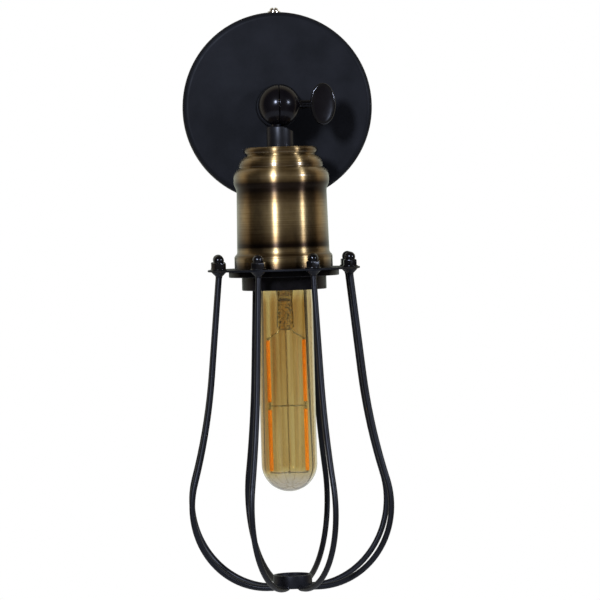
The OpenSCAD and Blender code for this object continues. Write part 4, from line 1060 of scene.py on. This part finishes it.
class CAGELIGHT_OT_stage(bpy.types.Operator):
    """Set the pale floor, the white backdrop, the two softboxes and the camera"""

    bl_idname = "cagelight.stage"
    bl_label = "Studio"
    bl_options = {"REGISTER"}

    @staticmethod
    def backdrop(studio):
        """A white backdrop behind the light and a dim room in front of it."""
        world = bpy.data.worlds.new("Studio")
        world.use_nodes = True
        tree = world.node_tree
        tree.nodes.clear()
        facing = add_node(tree, "ShaderNodeTexCoord").outputs["Generated"]
        depth = add_node(tree, "ShaderNodeSeparateXYZ", {0: facing}).outputs[1]
        room = ramp(tree, add_node(tree, "ShaderNodeMapRange", {
            0: depth, 1: -1.0, 2: 1.0, 3: 0.0, 4: 1.0}).outputs[0], (
            (0.0, (0.27, 0.23, 0.17)), (0.14, (0.3, 0.26, 0.2)), (0.24, (0.07, 0.055, 0.045)),
            (0.52, (0.045, 0.04, 0.035)), (0.58, (0.62, 0.47, 0.31)), (0.66, (0.78, 0.65, 0.45)),
            (0.76, (0.8, 0.72, 0.56)), (0.9, (0.6, 0.62, 0.55)), (1.0, (0.5, 0.54, 0.46))))
        path = add_node(tree, "ShaderNodeLightPath")
        seen = add_node(tree, "ShaderNodeMath", {
            0: path.outputs["Is Camera Ray"], 1: path.outputs["Is Transmission Ray"]},
            operation="MAXIMUM").outputs[0]
        mirrored = add_node(tree, "ShaderNodeBackground", {"Color": room, "Strength": 1.0})
        even = add_node(tree, "ShaderNodeBackground", {
            "Color": (1, 1, 1, 1), "Strength": studio.ambient})
        white = add_node(tree, "ShaderNodeBackground", {
            "Color": (1, 1, 1, 1), "Strength": studio.backdrop})
        lit = add_node(tree, "ShaderNodeMixShader", {
            0: path.outputs["Is Glossy Ray"], 1: even.outputs[0], 2: mirrored.outputs[0]})
        shown = add_node(tree, "ShaderNodeMixShader", {0: seen, 1: lit.outputs[0],
                                                       2: white.outputs[0]})
        add_node(tree, "ShaderNodeOutputWorld", {0: shown.outputs[0]})
        bpy.context.scene.world = world

    @staticmethod
    def softbox(name, power, azimuth, elevation, width, height, distance=1.7):
        """An upright softbox. Azimuth is from straight in front, to the right."""
        light = bpy.data.lights.new(name, "AREA")
        light.shape = "RECTANGLE"
        light.size, light.size_y = width, height
        light.energy = power
        light.color = colour("#F3F6FF")
        lamp = bpy.data.objects.new(name, light)
        a, e = math.radians(azimuth), math.radians(elevation)
        aim = Vector((0, -ARM_REACH * MM, -0.02))
        away = Vector((math.sin(a) * math.cos(e), -math.cos(a) * math.cos(e), math.sin(e)))
        lamp.location = aim + distance * away
        lamp.rotation_euler = away.to_track_quat("Z", "Y").to_euler()
        lamp.visible_camera = False
        bpy.context.scene.collection.objects.link(lamp)

    @staticmethod
    def camera(studio):
        """The camera stands a little left of the lamp's axis and looks slightly down."""
        made = bpy.data.objects.new("Camera", bpy.data.cameras.new("Camera"))
        made.data.lens = studio.lens
        made.data.sensor_width = 36.0
        yaw, pitch, roll = (math.radians(a) for a in (1.95, -1.6118, -1.6544))
        stand = Matrix.Translation((-0.0525, -1.82989, -0.05135))
        forward = Vector((math.sin(yaw) * math.cos(pitch), math.cos(yaw) * math.cos(pitch),
                          math.sin(pitch)))
        right = forward.cross(Vector((0, 0, 1))).normalized()
        up = right.cross(forward)
        side = right * math.cos(roll) + up * math.sin(roll)
        top = up * math.cos(roll) - right * math.sin(roll)
        turned = Matrix((side, top, -forward)).transposed().to_4x4()
        made.matrix_world = stand @ turned
        bpy.context.scene.collection.objects.link(made)
        bpy.context.scene.camera = made

    def execute(self, context):
        studio = context.scene.cage_light_studio
        context.scene.view_settings.view_transform = "Standard"
        bm = bmesh.new()
        bmesh.ops.create_circle(bm, cap_ends=True, segments=128, radius=studio.floor_radius)
        shift(bm, z=studio.floor_height)
        mesh = bpy.data.meshes.new("floor")
        bm.to_mesh(mesh)
        bm.free()
        floor = bpy.data.objects.new("floor", mesh)
        mesh.materials.append(surface("Matt white floor", ("#E6E5E2", "#EBEAE8"), (0.7, 0.85),
                                      grain=4, bump=0.05, spread=200))
        context.scene.collection.objects.link(floor)
        self.backdrop(studio)
        self.softbox("Left softbox", studio.key_power, -20.5, 16.5, 0.16, 0.26)
        self.softbox("Right softbox", studio.fill_power, 52, 13, 0.16, 0.26)
        self.camera(studio)
        return {"FINISHED"}


class CAGELIGHT_PT_pieces(bpy.types.Panel):
    """Lists every piece of the light and its settings"""

    bl_label = "Cage Wall Light"
    bl_idname = "CAGELIGHT_PT_pieces"
    bl_space_type = "VIEW_3D"
    bl_region_type = "UI"
    bl_category = "Cage Light"

    def draw(self, context):
        for group in (context.scene.cage_light_sizes, context.scene.cage_light_finishes,
                      context.scene.cage_light_studio):
            column = self.layout.box().column()
            for name in group.bl_rna.properties.keys():
                if name not in {"rna_type", "name"}:
                    column.prop(group, name)
        for operator in OPERATORS:
            self.layout.operator(operator.bl_idname)


GROUPS = {"cage_light_sizes": CageLightSizes, "cage_light_finishes": CageLightFinishes,
          "cage_light_studio": CageLightStudio}
OPERATORS = (CAGELIGHT_OT_stage, CAGELIGHT_OT_canopy, CAGELIGHT_OT_canopy_screws,
             CAGELIGHT_OT_knuckle, CAGELIGHT_OT_thumb_screw, CAGELIGHT_OT_brass_shell,
             CAGELIGHT_OT_holder, CAGELIGHT_OT_shade_ring, CAGELIGHT_OT_cage_plate,
             CAGELIGHT_OT_cap_nuts, CAGELIGHT_OT_cage_wires, CAGELIGHT_OT_bulb_glass,
             CAGELIGHT_OT_bulb_stem, CAGELIGHT_OT_filaments, CAGELIGHT_OT_bulb_cap,
             CAGELIGHT_OT_wall_fixings, CAGELIGHT_OT_leads)


def register():
    """Register the settings, operators and panel."""
    for kind in (*GROUPS.values(), *OPERATORS, CAGELIGHT_PT_pieces):
        bpy.utils.register_class(kind)
    for name, group in GROUPS.items():
        setattr(bpy.types.Scene, name, PointerProperty(type=group))


def unregister():
    """Take them out again."""
    for name in GROUPS:
        delattr(bpy.types.Scene, name)
    for kind in (CAGELIGHT_PT_pieces, *reversed(OPERATORS), *GROUPS.values()):
        bpy.utils.unregister_class(kind)


def main():
    """Dress the whole light."""
    register()
    for operator in OPERATORS:
        getattr(bpy.ops.cagelight, operator.bl_idname.split(".")[1])()


if __name__ == "__main__":
    main()
